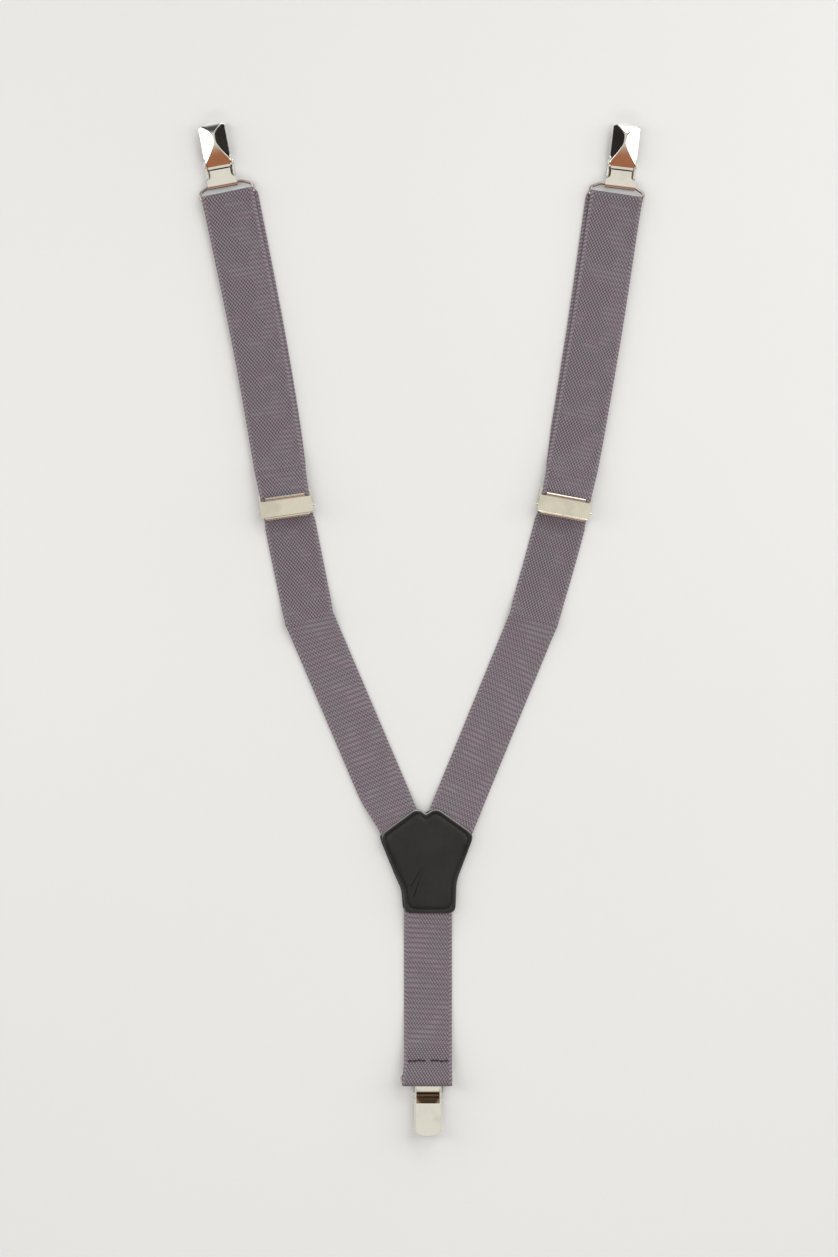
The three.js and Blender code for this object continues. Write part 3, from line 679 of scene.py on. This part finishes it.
def make_front_straps(side, material):
    """A front strap in eight lengths. Returns its path and how far along it the adjuster is."""
    path, fold, adjuster, wire = front_path(side)
    inner = 1 if side == "left" else -1
    half = WEB["half_width"]
    lower_end = fold - 50.0
    upper_start = fold + 8.0
    to_adjuster = adjuster - 10.0
    stack_end = adjuster + 19.3
    stack_top = 3.9
    turn_start = wire - 4.3
    turn_high = 3.2
    centre = (wire, ON_GROUND + TURN_RADIUS)
    second_layer = ON_GROUND + LAYER
    lower_body = f"{side}_lower_strap"
    upper_body = f"{side}_upper_strap"
    slider = f"{side}_adjuster"
    top_body = f"{side}_strap_top"
    widths = [
        (0, 1.02),
        (fold - 8, 1.02),
        (fold + 8, 1.05),
        (adjuster - 9, 1.065),
        (adjuster - 6.5, 1.03),
        (adjuster + 9, 1.03),
        (adjuster + 22, 1.07),
        (wire - 13, 1.09),
        (wire - 2, 1.1),
        (wire + 1, 1.08),
    ]

    def shape(along, steps):
        """The relaxed elastic widens towards the clip. The left strap is gathered at its outer side."""
        wide = half * np.interp(along, *zip(*widths))
        gathered = wide - 2.9 * (1 - smooth_step((along + 8) / 25)) * (side == "left")
        return gathered, wide, 0.0

    def peeking(along, steps):
        """The rear layer shows a little on the strap's inner side."""
        left, right, _ = shape(along, steps)
        low, middle, high = PEEK[side]
        stops = (adjuster + 21, adjuster + 40, (adjuster + wire) / 2, wire - 12, turn_start)
        return left, right, inner * np.interp(along, stops, (0.3, low, middle, high, high))

    def skewed(along, steps):
        """The fold over the wire is slightly skew, so that its lower layer meets the rear layer."""
        left, right, _ = shape(along, steps)
        return left, right, inner * PEEK[side][2] * smooth_step((steps - 5.5) / 5.5)

    def length(part, node, bodies, knots, v_from, shaped=shape, **options):
        names = (f"{side}_web_{part}", f"{side}_{node}")
        web(*names, bodies, path, knots, material, shaped, v_from=v_from, **options)

    knots = [(-11.5, IN_YOKE), (1.5, IN_YOKE), (13, ON_GROUND), (lower_end, ON_GROUND)]
    bodies = ("yoke", lower_body)
    length("from_yoke", "strap_tail", bodies, knots, -11.5 - fold, blended=(-1.0, 9.0), soften=12)

    stops = [*np.linspace(lower_end, fold, 60), *np.linspace(fold, upper_start, 12)[1:]]
    knots = [(s, fold_height(s - fold)) for s in stops]
    bodies = (lower_body, upper_body)
    across_fold = (fold - 5, fold + 5)
    length("at_fold", "strap_lower", bodies, knots, lower_end - fold, blended=across_fold)

    stops = np.linspace(upper_start, to_adjuster, 50)
    knots = [(s, fold_height(s - fold)) for s in stops]
    bodies = (upper_body, slider)
    whole = (upper_start, to_adjuster)
    length("to_adjuster", "strap_middle", bodies, knots, upper_start - fold, blended=whole)

    knots = [
        (to_adjuster, ON_GROUND),
        (adjuster - 7.3, ON_GROUND),
        (adjuster - 2.9, 3.35),
        (adjuster + 1, 3.35),
        (adjuster + 4, 4.95),
        (adjuster + 8.4, 4.95),
        (adjuster + 12, stack_top),
        (stack_end, stack_top),
    ]
    length("in_adjuster", "strap_in_adjuster", (slider,), knots, to_adjuster - fold, soften=2)

    knots = [
        (stack_end, stack_top),
        (stack_end + 2, 3.8),
        (adjuster + 27, second_layer),
        (wire - 14, second_layer),
        (turn_start, turn_high),
    ]
    bodies = (slider, top_body)
    whole = (stack_end, turn_start)
    length("front", "strap_front", bodies, knots, stack_end - fold, blended=whole, soften=10)

    knots = [(stack_end, ON_GROUND), (turn_start, ON_GROUND)]
    length("rear", "strap_return", bodies, knots, 0.6, peeking, blended=whole)

    knots = [(turn_start, turn_high), *arc(centre, TURN_RADIUS, 92, -90), (turn_start, ON_GROUND)]
    on_wire = {"held": "folded", "rests_on": [f"{side}_wire_loop"]}
    length("turn", "strap_turn", (top_body,), knots, turn_start - fold, skewed, **on_wire)

    knots = [
        (stack_end, ON_GROUND),
        *arc((adjuster + 6, 2.0), 1.35, 270, 90, 10),
        (adjuster + 8.4, 3.3),
        (adjuster + 11.5, second_layer),
        (stack_end, second_layer),
    ]
    on_bar = {"held": "folded", "rests_on": [f"{side}_adjuster_frame"]}
    length("sewn_end", "strap_end_loop", (slider,), knots, 0.6, **on_bar)
    return path, adjuster


def make_back_strap(material):
    """The back strap and its turned-over end. Returns its path and how far along it the end is sewn."""
    flex = joint_at("back_strap_flex")[:2]
    wire = joint_at("back_loop_unfold")
    length = float(flex[1] - wire[1])
    path = StrapPath([flex, (flex[0], wire[1])])
    half = WEB["half_width"]
    cut = 40.0
    sewn = length - 10.7
    under = BACK_END_TOP - LAYER
    woven_from = -200.0

    def shape(along, steps):
        """Over the wire's corners the upper layer spreads, most at its -X side."""
        over_wire = length - cut + 3.0
        spread = smooth_step((steps - (sewn - cut)) / 12) * (1 - smooth_step((steps - over_wire) / 3))
        spread = spread * (along > cut + 10)
        return half + 0.1 * spread, half + 1.1 * spread, 0.0

    web(
        "back_web_from_yoke",
        "back_strap_tail",
        ("yoke", "back_strap"),
        path,
        [(-33.5, IN_YOKE), (1.5, IN_YOKE), (13, ON_GROUND), (cut, ON_GROUND)],
        material,
        shape,
        blended=(-1.0, 9.0),
        soften=12,
        v_from=woven_from - 33.5 - cut,
    )
    web(
        "back_web_turned",
        "back_strap",
        ("back_strap",),
        path,
        [
            (cut, ON_GROUND),
            (46, ON_GROUND),
            (length - 21, 2.1),
            (sewn, BACK_END_TOP),
            *arc((length, float(wire[2])), TURN_RADIUS, 98, -98, 16),
            (sewn, under),
            (length - 13.1, under - 0.6),
        ],
        material,
        shape,
        soften=2,
        v_from=woven_from,
        held="folded",
        rests_on=["back_wire_loop"],
    )
    return path, sewn


# ---- Stitches ----
def stitches(places, radius):
    """Short lengths of thread that dip in at both ends. places holds each one's (start, end, up), in mm."""
    parts = []
    for start, end, up in places:
        start, end, up = (np.asarray(v, float) for v in (start, end, up))
        share = np.linspace(0, 1, 9)
        rise = np.sin(share * math.pi) ** 0.6 - 0.75
        path = start + (end - start) * share[:, None] + up * (radius * rise)[:, None]
        parts.append(tube(path, radius, sides=8, taper=(0.55, 0.85)))
    return joined(*parts)


def make_seam(name, node, body, path, ends, height, radius, material):
    """A row of stitches on a strap. ends holds the two (across, along) places of each, in mm."""
    places = []
    for pair in ends:
        start, end = (np.append(path.lay(*np.array([[u], [v]])), height) for u, v in pair)
        places.append((start, end, (0, 0, 1)))
    points, faces = stitches(places, radius)
    stand_in(piece(name, points, faces, material), body, node)


def make_back_seam(path, sewn, material):
    """One row of stitches across the back strap's end, worn away in its middle."""
    worn = 4
    ends = []
    for i, x in enumerate(np.arange(-10.6, 10.7, 2.35)[:-1]):
        along = sewn - 0.25 + 0.25 * math.sin(1.9 * i)
        if i != worn:
            ends.append(((x + 0.12, along), (x + 2.2, along + 0.1)))
    height = BACK_END_TOP + 0.62 + 0.3
    make_seam("back_seam_stitches", "back_end_seam_thread", "back_strap", path, ends, height, 0.44, material)


def make_front_seam(side, path, adjuster, material):
    """The hidden row of stitches that holds the strap's end beside the adjuster."""
    along = adjuster + 17.35
    height = ON_GROUND + LAYER + 0.78
    ends = [((x, along), (x + 2.0, along)) for x in np.arange(-9.6, 9.0, 2.4)]
    name, node = f"{side}_seam_stitches", f"{side}_end_seam_thread"
    make_seam(name, node, f"{side}_adjuster", path, ends, height, 0.16, material)


# ---- Yoke ----
def yoke_outline(inset, per_corner=6, per_edge=8):
    """The yoke's outline, moved inwards, as points in plan that match from one inset to the next."""

    def half(x):
        return math.copysign(abs(x) - inset, x)

    corners = [
        (-0.8, 25.2 - 1.25 * inset, 1.2),
        (-5.2 + 0.3 * inset, 28.6 - inset, 3.4),
        (half(-24.9), 14.2 - 0.5 * inset, 4),
        (half(-15.6), -8.6, 4),
        (half(-12.8), -14.5, 3),
        (half(-12.0), -26.3 + inset, 4),
        (half(14.6), -26.3 + inset, 4),
        (half(15.2), -9.6, 4),
        (half(24.4), 14.6 - 0.5 * inset, 4),
        (4.6 - 0.3 * inset, 28.6 - inset, 3.4),
    ]
    bends = []
    for i, (x, y, radius) in enumerate(corners):
        here = np.array([x, y])
        before = np.array(corners[i - 1][:2]) - here
        after = np.array(corners[(i + 1) % len(corners)][:2]) - here
        bends.append(corner_bend(before, here, after, radius, per_corner))
    outline = []
    for i, bend in enumerate(bends):
        following = bends[(i + 1) % len(bends)][0]
        t = np.linspace(0, 1, per_edge + 1)[1:-1, None]
        outline += [bend, bend[-1] + (following - bend[-1]) * t]
    return np.vstack(outline)


def smooth_step(x):
    x = np.clip(x, 0, 1)
    return x * x * (3 - 2 * x)


def cover_of_webbing(points, paths):
    """1 where webbing lies between the two leathers, falling to 0 beside it."""
    cover = np.zeros(len(points))
    for start, heading, half, reach in paths:
        offset = points - start
        along = offset @ heading
        across = np.abs(offset @ np.array([heading[1], -heading[0]]))
        outside = np.maximum(across - half, np.maximum(-reach - along, 0))
        cover = np.maximum(cover, 1 - smooth_step(outside / 4.5))
    return cover


def yoke_relief(inset):
    """The leather's face below its middle: a rounded edge, a low border and a sewn groove."""
    edge = 0.7
    rounded = 0.0
    if inset < edge:
        rounded = edge * (1 - math.sqrt(max(0.0, 1 - (inset / edge - 1) ** 2)))
    groove = 0.42 * math.exp(-(((inset - LEATHER["seam_inset"]) / 0.55) ** 2))
    border = 0.22 * (1 - float(smooth_step((inset - LEATHER["seam_inset"]) / 2.6)))
    return -rounded - groove - border


def pinch_depth(inset):
    """How far the seam pulls the front leather down where no webbing lies under it."""
    return 1.25 * (1 - float(smooth_step(inset / 4.5)))


def leather_layer(name, shift, low, facing, material, edge, paths):
    """One of the yoke's two leathers. facing is 1 for the front face and -1 for the back one."""
    insets = [0, 0.06, 0.15, 0.28, 0.45, 0.7, 1.0, 1.3, 1.6, 1.8]
    insets += [2.0, 2.2, 2.4, 2.6, 2.8, 3.2, 3.8, 4.6, 5.6]
    rings = [yoke_outline(inset) for inset in insets]
    centre = rings[-1].mean(axis=0)
    rings += [centre + (rings[-1] - centre) * share for share in (0.75, 0.5, 0.25)]
    insets += [7.5, 9.5, 11.5]
    count = len(rings[0])
    thick = LEATHER["thick"]
    outer, inner = [], []
    for inset, ring in zip(insets, rings):
        plan = ring + shift
        if facing > 0:
            pinched = 1 - cover_of_webbing(plan, paths)
            base = low - pinched * pinch_depth(inset)
            face = base + thick + yoke_relief(inset)
            back = base
        else:
            back = np.full(count, low + thick)
            face = low - 0.5 * yoke_relief(inset) if inset < 4 else np.full(count, low)
            face = np.broadcast_to(face, (count,))
        outer.append(np.column_stack([plan, face]))
        inner.append(np.column_stack([plan, np.broadcast_to(back, (count,))]))
    points = np.vstack([*outer, *inner])
    levels = len(rings)
    faces = []
    for layer, flipped in ((0, False), (levels, True)):
        for k in range(levels - 1):
            for j in range(count):
                a, b = (layer + k) * count + j, (layer + k) * count + (j + 1) % count
                quad = (a, b, b + count, a + count)
                faces.append(tuple(reversed(quad)) if flipped else quad)
        last = (layer + levels - 1) * count
        cap = tuple(range(last, last + count))
        faces.append(tuple(reversed(cap)) if flipped else cap)
    for j in range(count):
        a, b = j, (j + 1) % count
        faces.append((b, a, a + levels * count, b + levels * count))
    if facing < 0:
        faces = [tuple(reversed(face)) for face in faces]
    layer = piece(name, points, faces, material, sharp=60)
    # The rings nearest the rim take the edge material; on the front leather it holds a painted highlight on the +Y
    # edges.
    layer.data.materials.append(edge)
    painted = count * sum(inset < 0.6 for inset in insets)
    for polygon in layer.data.polygons:
        if min(polygon.vertices) < painted:
            polygon.material_index = 1
    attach(layer, "yoke")
    return layer


def seam_places(height_at, facing, shift=(0, 0)):
    """Where each stitch of the yoke's seam starts and ends, evenly spaced round the outline."""
    ring = yoke_outline(LEATHER["seam_inset"], per_corner=12, per_edge=20) + np.array(shift)
    closed = np.vstack([ring, ring[0]])
    lengths = np.concatenate([[0], np.cumsum(np.linalg.norm(np.diff(closed, axis=0), axis=1))])
    count = int(round(lengths[-1] / LEATHER["stitch_pitch"]))
    pitch = lengths[-1] / count
    places = []
    for i in range(count):
        ends = []
        for share in (0.08, 0.84):
            at = np.array([np.interp(pitch * (i + share), lengths, closed[:, k]) for k in (0, 1)])
            ends.append(np.append(at, height_at(at)))
        places.append((*ends, (0, 0, facing)))
    return places


def make_yoke(materials):
    """Two leathers with the strap ends between them, and the seam's stitches on both faces."""
    back_leather = materials["back_leather"]
    thread = materials["yoke_thread"]
    paths = []
    for side in SIDES:
        flex = joint_at(f"{side}_strap_flex")[:2]
        fold = joint_at(f"{side}_strap_fold")[:2]
        heading = (fold - flex) / np.linalg.norm(fold - flex)
        paths.append((flex, heading, WEB["half_width"] - 1.5, 12.0))
    back = joint_at("back_strap_flex")[:2]
    paths.append((back, np.array([0.0, -1.0]), WEB["half_width"], 34.0))
    faced = (materials["leather"], materials["leather_edge"])
    front = leather_layer("yoke_front_face", (0, 0), LEATHER["front_low"], 1, *faced, paths)
    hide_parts("yoke_front_leather")
    shift = REAR_LEATHER_SHIFT
    rear = leather_layer("yoke_back_face", shift, 0.0, -1, back_leather, back_leather, paths)
    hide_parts("yoke_back_leather")

    def on_front(point):
        pinched = 1 - cover_of_webbing(point[None, :], paths)[0]
        base = LEATHER["front_low"] - pinched * pinch_depth(LEATHER["seam_inset"])
        return base + LEATHER["thick"] + yoke_relief(LEATHER["seam_inset"]) + 0.17

    points, faces = stitches(seam_places(on_front, 1), 0.24)
    seam = piece("yoke_stitches", points, faces, thread)
    stand_in(seam, "yoke", "yoke_seam_thread")
    points, faces = stitches(seam_places(lambda point: 0.26, -1, shift), 0.2)
    under = piece("yoke_stitches_underneath", points, faces, thread)
    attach(under, "yoke")


# ---- Metal ----
def placed(origin, x_axis, y_axis):
    """The matrix of a local frame, in metres, from its origin and two of its directions."""
    x_axis = Vector(x_axis).normalized()
    y_axis = Vector(y_axis)
    y_axis = (y_axis - x_axis * y_axis.dot(x_axis)).normalized()
    z_axis = x_axis.cross(y_axis)
    turned = Matrix((x_axis, y_axis, z_axis)).transposed().to_4x4()
    return Matrix.Translation(Vector(origin)) @ turned


def adjuster_place(side):
    """An adjuster's local frame: its centre on the ground, +Y towards the clip."""
    joint = JOINTS[f"{side}_adjuster_lever_tilt"]
    across = Vector(joint["axis"])
    along = Vector((0, 0, 1)).cross(across)
    y, z = ADJUSTER_PIVOT
    return placed(Vector(joint["pos_m"]) - along * y * MM - Vector((0, 0, z * MM)), across, along)


def clip_place(side):
    """A clip's local frame, from its two hinges: the wire's narrow bar on X, the tip along +Y."""
    lever, jaw = JOINTS[f"{side}_clip_lever_open"], JOINTS[f"{side}_clip_jaw_open"]
    across = Vector(lever["axis"]).normalized()
    step = (Vector(jaw["pos_m"]) - Vector(lever["pos_m"])) / MM
    turned = across.cross(step)
    a = CLIP["jaw"][0] - CLIP["pivot"][0]
    b = CLIP["jaw"][1] - CLIP["pivot"][1]
    along = (step * a - turned * b) / (a * a + b * b)
    up = across.cross(along)
    origin = Vector(lever["pos_m"]) - (along * CLIP["pivot"][0] + up * CLIP["pivot"][1]) * MM
    return placed(origin, across, along)


def loop_place(side):
    """A wire loop's local frame: the wide bar on X, the narrow bar at +Y."""
    swing = "back_loop_unfold" if side == "back" else f"{side}_loop_swing"
    wide, narrow = JOINTS[swing], JOINTS[f"{side}_clip_swing"]
    across = -Vector(wide["axis"])
    return placed(wide["pos_m"], across, Vector(narrow["pos_m"]) - Vector(wide["pos_m"]))


def make_wire_loop(side, material):
    """A flattened hexagon of wire, its butted ends hidden in the clip's roll."""
    wide = WIRE["half_wide"] - (WIRE["back_narrower"] if side == "back" else 0)
    corners = [
        (WIRE["half_narrow"], WIRE["depth"], 1.2),
        (wide, WIRE["side_rise"], 1.2),
        (wide, 0, 1.3),
        (-wide, 0, 1.3),
        (-wide, WIRE["side_rise"], 1.2),
        (-WIRE["half_narrow"], WIRE["depth"], 1.2),
    ]
    ends = [np.array([x * WIRE["butt_gap"] / 2, WIRE["depth"]]) for x in (1, -1)]
    line = [ends[0]]
    for i, (x, y, bend) in enumerate(corners):
        here = np.array([x, y], float)
        following = np.array(corners[i + 1][:2], float) if i + 1 < len(corners) else ends[1]
        before = line[-1] - here
        after = following - here
        curve = corner_bend(before, here, after, bend, 9)
        line += [*np.linspace(line[-1], curve[0], 8)[1:], *curve[1:]]
    line += [*np.linspace(line[-1], ends[1], 8)[1:]]
    path = np.column_stack([np.array(line), np.zeros(len(line))])
    points, faces = tube(path, WIRE["radius"], sides=20)
    place = loop_place(side)
    if side == "back":
        place = Matrix.Translation((WIRE["back_shift"] * MM, 0, 0)) @ place
    loop = piece(f"{side}_wire", points, faces, material, place=place)
    stand_in(loop, f"{side}_wire_loop", f"{side}_wire_loop")


def edge_spread(count, edge_steps):
    """Positions from -1 to 1: the rim twice over, a few close to it, then evenly across."""
    close = [-1.0, -1.0] + [-1.0 + e for e in edge_steps]
    inside = np.linspace(close[-1], -close[-1], count)[1:-1]
    return np.array(close + list(inside) + [-v for v in reversed(close)])


def soft_least(a, b, width):
    """The lesser of two numbers, rounded off where they are within width of each other."""
    return (a + b - math.sqrt((a - b) ** 2 + width**2)) / 2


def cover_grid(inset):
    """The clip cover's skin: four faces that rise to a peak, an arched tip and turned-down sides.

    inset is how far the skin lies inside the outer one.
    """
    soft = 0.4
    shares = edge_spread(45, (0.006, 0.016, 0.032, 0.055, 0.085))
    rows = edge_spread(61, (0.003, 0.008, 0.016, 0.028, 0.042))
    grid = np.zeros((len(rows), len(shares), 3))
    half_wide, half_tail = CLIP["half_cover"], CLIP["half_tail"]
    apex_y = CLIP["apex_y"]
    lowest = CLIP["rim_low"] + 0.05 - 0.03 * (inset > 0)
    for i, row in enumerate(rows):
        for j, share in enumerate(shares):
            tip = CLIP["tip"] - CLIP["tip_arch"] * share**2 - inset
            root = CLIP["root"] + inset
            y = root + (tip - root) * (row + 1) / 2
            widened = float(smooth_step((y - 13.7) / 0.6))
            half = half_tail + (half_wide - half_tail) * widened - inset
            x = half * share
            reach, bow = (CLIP["tip"] - apex_y, 2.1) if y > apex_y else (CLIP["lower_reach"], 1.35)
            by_side = 1 - abs(x) / half_wide
            by_end = 1 - (abs(y - apex_y) / reach) ** bow
            lower = soft_least(soft_least(by_side, by_end, 0.02), 0.95, 0.08)
            z = CLIP["rim_high"] + CLIP["apex_rise"] * max(-0.3, lower) - inset
            edge = min(half - abs(x), y - root, tip - y)
            if edge < soft:
                z -= soft * (1 - math.sqrt(max(0.0, 1 - (1 - max(edge, 0) / soft) ** 2)))
            on_rim = i in (0, len(rows) - 1) or j in (0, len(shares) - 1)
            grid[i, j] = (x, y, CLIP["rim_low"] if on_rim else max(z, lowest))
    return grid


def make_clip_cover(side, material, inner_shade):
    """The clip's lever: the cover with its barrel, two cheeks and a lip. Its underside is dark brown metal,
    painted shade.
    """
    outer = cover_grid(0.0)
    inner = cover_grid(CLIP["cover_sheet"])
    skin = shell(outer, inner)
    y, z = CLIP["pivot"]
    barrel = tube([(x, y, z) for x in np.linspace(-5.7, 5.7, 9)], 1.15, sides=24)
    cheek = ((y - 1.3, y + 1.3), (z - 1.1, CLIP["rim_high"]))
    cheeks = [box_part(sorted((s * 5.8, s * 6.5)), *cheek) for s in (-1, 1)]
    lip = box_part((-5.85, 5.85), (CLIP["root"] - 0.65, CLIP["root"] + 0.5), (2.1, 3.0))
    points, faces = joined(skin, barrel, *cheeks, lip)
    cover = piece(f"{side}_clip_cover", points, faces, material, place=clip_place(side), sharp=50)
    cover.data.materials.append(inner_shade)
    outside = len(outer.reshape(-1, 3))
    lip_from = len(points) - len(lip[0])
    for polygon in cover.data.polygons:
        if outside <= min(polygon.vertices) < lip_from:
            polygon.material_index = 1
    stand_in(cover, f"{side}_clip_lever", f"{side}_clip_lever")


def bent_sheet(rows, thick, columns, window=None):
    """A sheet bent along rows of (y, z, half width, bow).

    window is the (half width share, y from, y to) that is cut from its lower run.
    """
    rows = np.array(rows, float)
    tangent = np.gradient(rows[:, :2], axis=0)
    tangent /= np.linalg.norm(tangent, axis=1)[:, None]
    shares = np.asarray(columns, float)
    grids = []
    for side in (1, -1):
        grid = np.zeros((len(rows), len(shares), 3))
        for i, (y, z, half, bow) in enumerate(rows):
            grid[i, :, 0] = half * shares
            grid[i, :, 1] = y + bow * (1 - shares**2) - side * tangent[i, 1] * thick / 2
            grid[i, :, 2] = z + side * tangent[i, 0] * thick / 2
        grids.append(grid)
    keep = np.ones((len(rows) - 1, len(shares) - 1), bool)
    if window is not None:
        half_window, low, high = window
        for i in range(len(rows) - 1):
            ends = rows[i : i + 2, 0]
            inside = rows[i, 1] < 0 and low <= min(ends) and max(ends) <= high
            for j in range(len(shares) - 1):
                if inside and abs(shares[j] + shares[j + 1]) / 2 < half_window:
                    keep[i, j] = False
    return shell(grids[0], grids[1], keep)


def make_clip_frame(side, material, inner_shade):
    """The clip's body: a back plate with a window, a roll over the wire, a short flap and two ears."""
    radius = CLIP["roll_radius"]
    arched_end = [(31.5, 4.3, 0.9), (31.2, 5.1, 0.8), (30.7, 5.8, 0.65), (30.0, 6.35, 0.5), (29.0, 6.5, 0.3)]
    straight = [(y, 6.5, 0.0) for y in (24.0, 20.0, 17.0, 15.6, 13.0, 10.5)]
    by_roll = [(8.0, 6.5, 1.1), (6.0, 6.5, 0.5), (4.2, 6.5, 0.0), (2.9, 7.1, 0.0), (2.3, 7.75, 0.0)]
    lower = [(y, -radius, half, bow) for y, half, bow in arched_end + straight + by_roll]
    roll = [(y, z, 7.75, 0.0) for y, z in arc((0, 0), radius, -90, -270, 18)]
    flap = [(2.3, 7.75), (2.8, 7.3), (3.3, 6.6), (3.8, 5.9), (4.4, 5.5)]
    flap += [(5.4, 5.4), (6.5, 5.4), (7.7, 5.4)]
    upper = [(y, radius, half, 0.0) for y, half in flap]
    columns = [-1, -0.93, -0.86, -0.6, -0.3, 0, 0.3, 0.6, 0.86, 0.93, 1]
    sheet = bent_sheet(lower + roll + upper, CLIP["sheet"], columns, window=(0.93, 8.0, 15.6))
    y, z = CLIP["pivot"]
    ears = []
    for s in (-1, 1):
        across = sorted((s * 6.9, s * 7.6))
        ears.append(box_part(across, (y - 1.6, y + 1.5), (-radius - 0.4, z + 1.45)))
        ears.append(box_part(across, (4.4, y - 1.3), (-radius - 0.4, 0.9)))
        ears.append(box_part(sorted((s * 6.2, s * 7.6)), (4.4, y + 1.5), (-radius - 0.4, -radius + 0.4)))
    points, faces = joined(sheet, *ears)
    body = piece(f"{side}_clip_body", points, faces, material, place=clip_place(side), sharp=35)
    # The sheet's inner faces take a dark brown metal: painted shade that darkens the slots beside the flap.
    body.data.materials.append(inner_shade)
    inside = range(len(sheet[0]) // 2, len(sheet[0]))
    for polygon in body.data.polygons:
        if min(polygon.vertices) in inside and max(polygon.vertices) in inside:
            polygon.material_index = 1
    rounded_edges(body, 0.16)
    stand_in(body, f"{side}_clip", f"{side}_clip_frame")


def make_pin(name, node, place, half, pivot, material, slot):
    """A riveted pin: a round bar with domed ends, half its length to each side of a pivot's (y, z)."""
    line = [-half, -half + 0.08, -half + 0.25, *np.linspace(-half + 0.5, half - 0.5, 6)]
    line += [half - 0.25, half - 0.08, half]
    points, faces = tube([(x, *pivot) for x in line], PIN_RADIUS, sides=24, taper=(0.45, 0.8, 0.96))
    pin = piece(name, points, faces, material, place=place)
    bodies = frame["record"]["behaviour"]["bodies"]
    stand_in(pin, next(body for body, nodes in bodies.items() if node in nodes), node)


def make_adjuster_lever(side, material):
    """The adjuster's face plate: a rolled top lip, a flat field and a bent lower lip with cut corners."""
    top_lip = [(5.62, 6.25, 10.0), (5.58, 6.55, 10.05), (5.4, 6.8, 10.15), (5.1, 6.93, 10.25)]
    top_lip += [(4.8, 6.88, 10.4), (4.5, 6.65, 10.5), (4.25, 6.42, 10.7), (4.0, 6.32, 10.9)]
    field = [(3.88, 6.34, 13.0), (3.7, 6.38, 13.4), (3.3, 6.4, 13.5), (1.0, 6.4, 13.5)]
    field += [(-1.5, 6.4, 13.5), (-4.0, 6.4, 13.5), (-4.4, 6.4, 13.4)]
    lower_lip = [(-4.55, 6.46, 12.9), (-4.75, 6.5, 12.4), (-5.05, 6.52, 11.8), (-5.35, 6.5, 11.3)]
    lower_lip += [(-5.52, 6.42, 11.0), (-5.62, 6.25, 10.8)]
    rows = [(*row, 0.0) for row in reversed(top_lip + field + lower_lip)]
    plate = bent_sheet(rows, 0.7, np.linspace(-1, 1, 13))
    y, z = ADJUSTER_PIVOT
    cheek = ((y - 1.05, y + 1.05), (z + 0.05, 6.3))
    cheeks = [box_part(sorted((s * 11.6, s * 12.4)), *cheek) for s in (-1, 1)]
    teeth = [box_part((x - 0.7, x + 0.7), (0.25, 0.75), (4.3, 6.3)) for x in np.linspace(-10, 10, 9)]
    points, faces = joined(plate, *cheeks, *teeth)
    lever = piece(f"{side}_adjuster_plate", points, faces, material, place=adjuster_place(side), sharp=35)
    rounded_edges(lever, 0.14)
    stand_in(lever, f"{side}_adjuster_lever", f"{side}_adjuster_lever")


def finish_node(name, material, bevel):
    """A CAD node whose shape is right keeps it, with rounded edges and a better material."""
    node = frame["nodes"][name]
    node.data.materials.clear()
    node.data.materials.append(material)
    rounded_edges(node, bevel)


def make_clip(side, materials):
    nickel = materials["clip_nickel"]
    # The dark brown metal on the clip's inner faces is painted shade.
    inner_shade = materials["clip_inner_shade"]
    make_wire_loop(side, materials["wire"])
    make_clip_cover(side, materials["clip_chrome"], inner_shade)
    make_clip_frame(side, nickel, inner_shade)
    names = (f"{side}_clip_pin", f"{side}_clip_pivot_pin")
    make_pin(*names, clip_place(side), 7.95, CLIP["pivot"], nickel, "clip_nickel")
    finish_node(f"{side}_clip_jaw", nickel, 0.12)
    finish_node(f"{side}_clip_grip_pad", materials["grip_plastic"], 0.1)


def make_adjuster(side, metal):
    make_adjuster_lever(side, metal)
    names = (f"{side}_adjuster_rivet", f"{side}_adjuster_pin")
    make_pin(*names, adjuster_place(side), 15, ADJUSTER_PIVOT, metal, "adjuster_nickel")
    finish_node(f"{side}_adjuster_frame", metal, 0.15)


def main():
    make_camera()
    make_lights()
    make_world()
    make_ground()
    bpy.context.scene.view_settings.view_transform = "Standard"
    materials = {
        "webbing": webbing_material(),
        "leather": leather_material("leather", (0.0125, 0.0122, 0.0120)),
        "leather_edge": leather_edge_material(),
        "back_leather": leather_material("back_leather", (0.010, 0.010, 0.010)),
        "yoke_thread": thread_material("yoke_thread", (0.006, 0.006, 0.006)),
        "strap_thread": thread_material("strap_thread", (0.022, 0.014, 0.020)),
        "clip_chrome": metal_material("clip_chrome", (0.92, 0.90, 0.87), 0.05, 0.12, 0.04),
        # Dark brown metal for the clips' inner faces: painted shade.
        "clip_inner_shade": metal_material("clip_inner_shade", (0.20, 0.14, 0.09), 0.3, 0.5, 0.15),
        "clip_nickel": metal_material("clip_nickel", (0.96, 0.945, 0.915), 0.10, 0.18, 0.0),
        "adjuster_nickel": metal_material("adjuster_nickel", (0.89, 0.855, 0.77), 0.10, 0.18, 0.0),
        "wire": metal_material("wire", (0.47, 0.42, 0.38), 0.15, 0.3, 0.1),
        "grip_plastic": plastic_material(),
    }
    make_yoke(materials)
    for side in SIDES:
        path, adjuster = make_front_straps(side, materials["webbing"])
        make_front_seam(side, path, adjuster, materials["strap_thread"])
        make_adjuster(side, materials["adjuster_nickel"])
        make_clip(side, materials)
    path, sewn = make_back_strap(materials["webbing"])
    make_back_seam(path, sewn, materials["strap_thread"])
    make_clip("back", materials)


main()
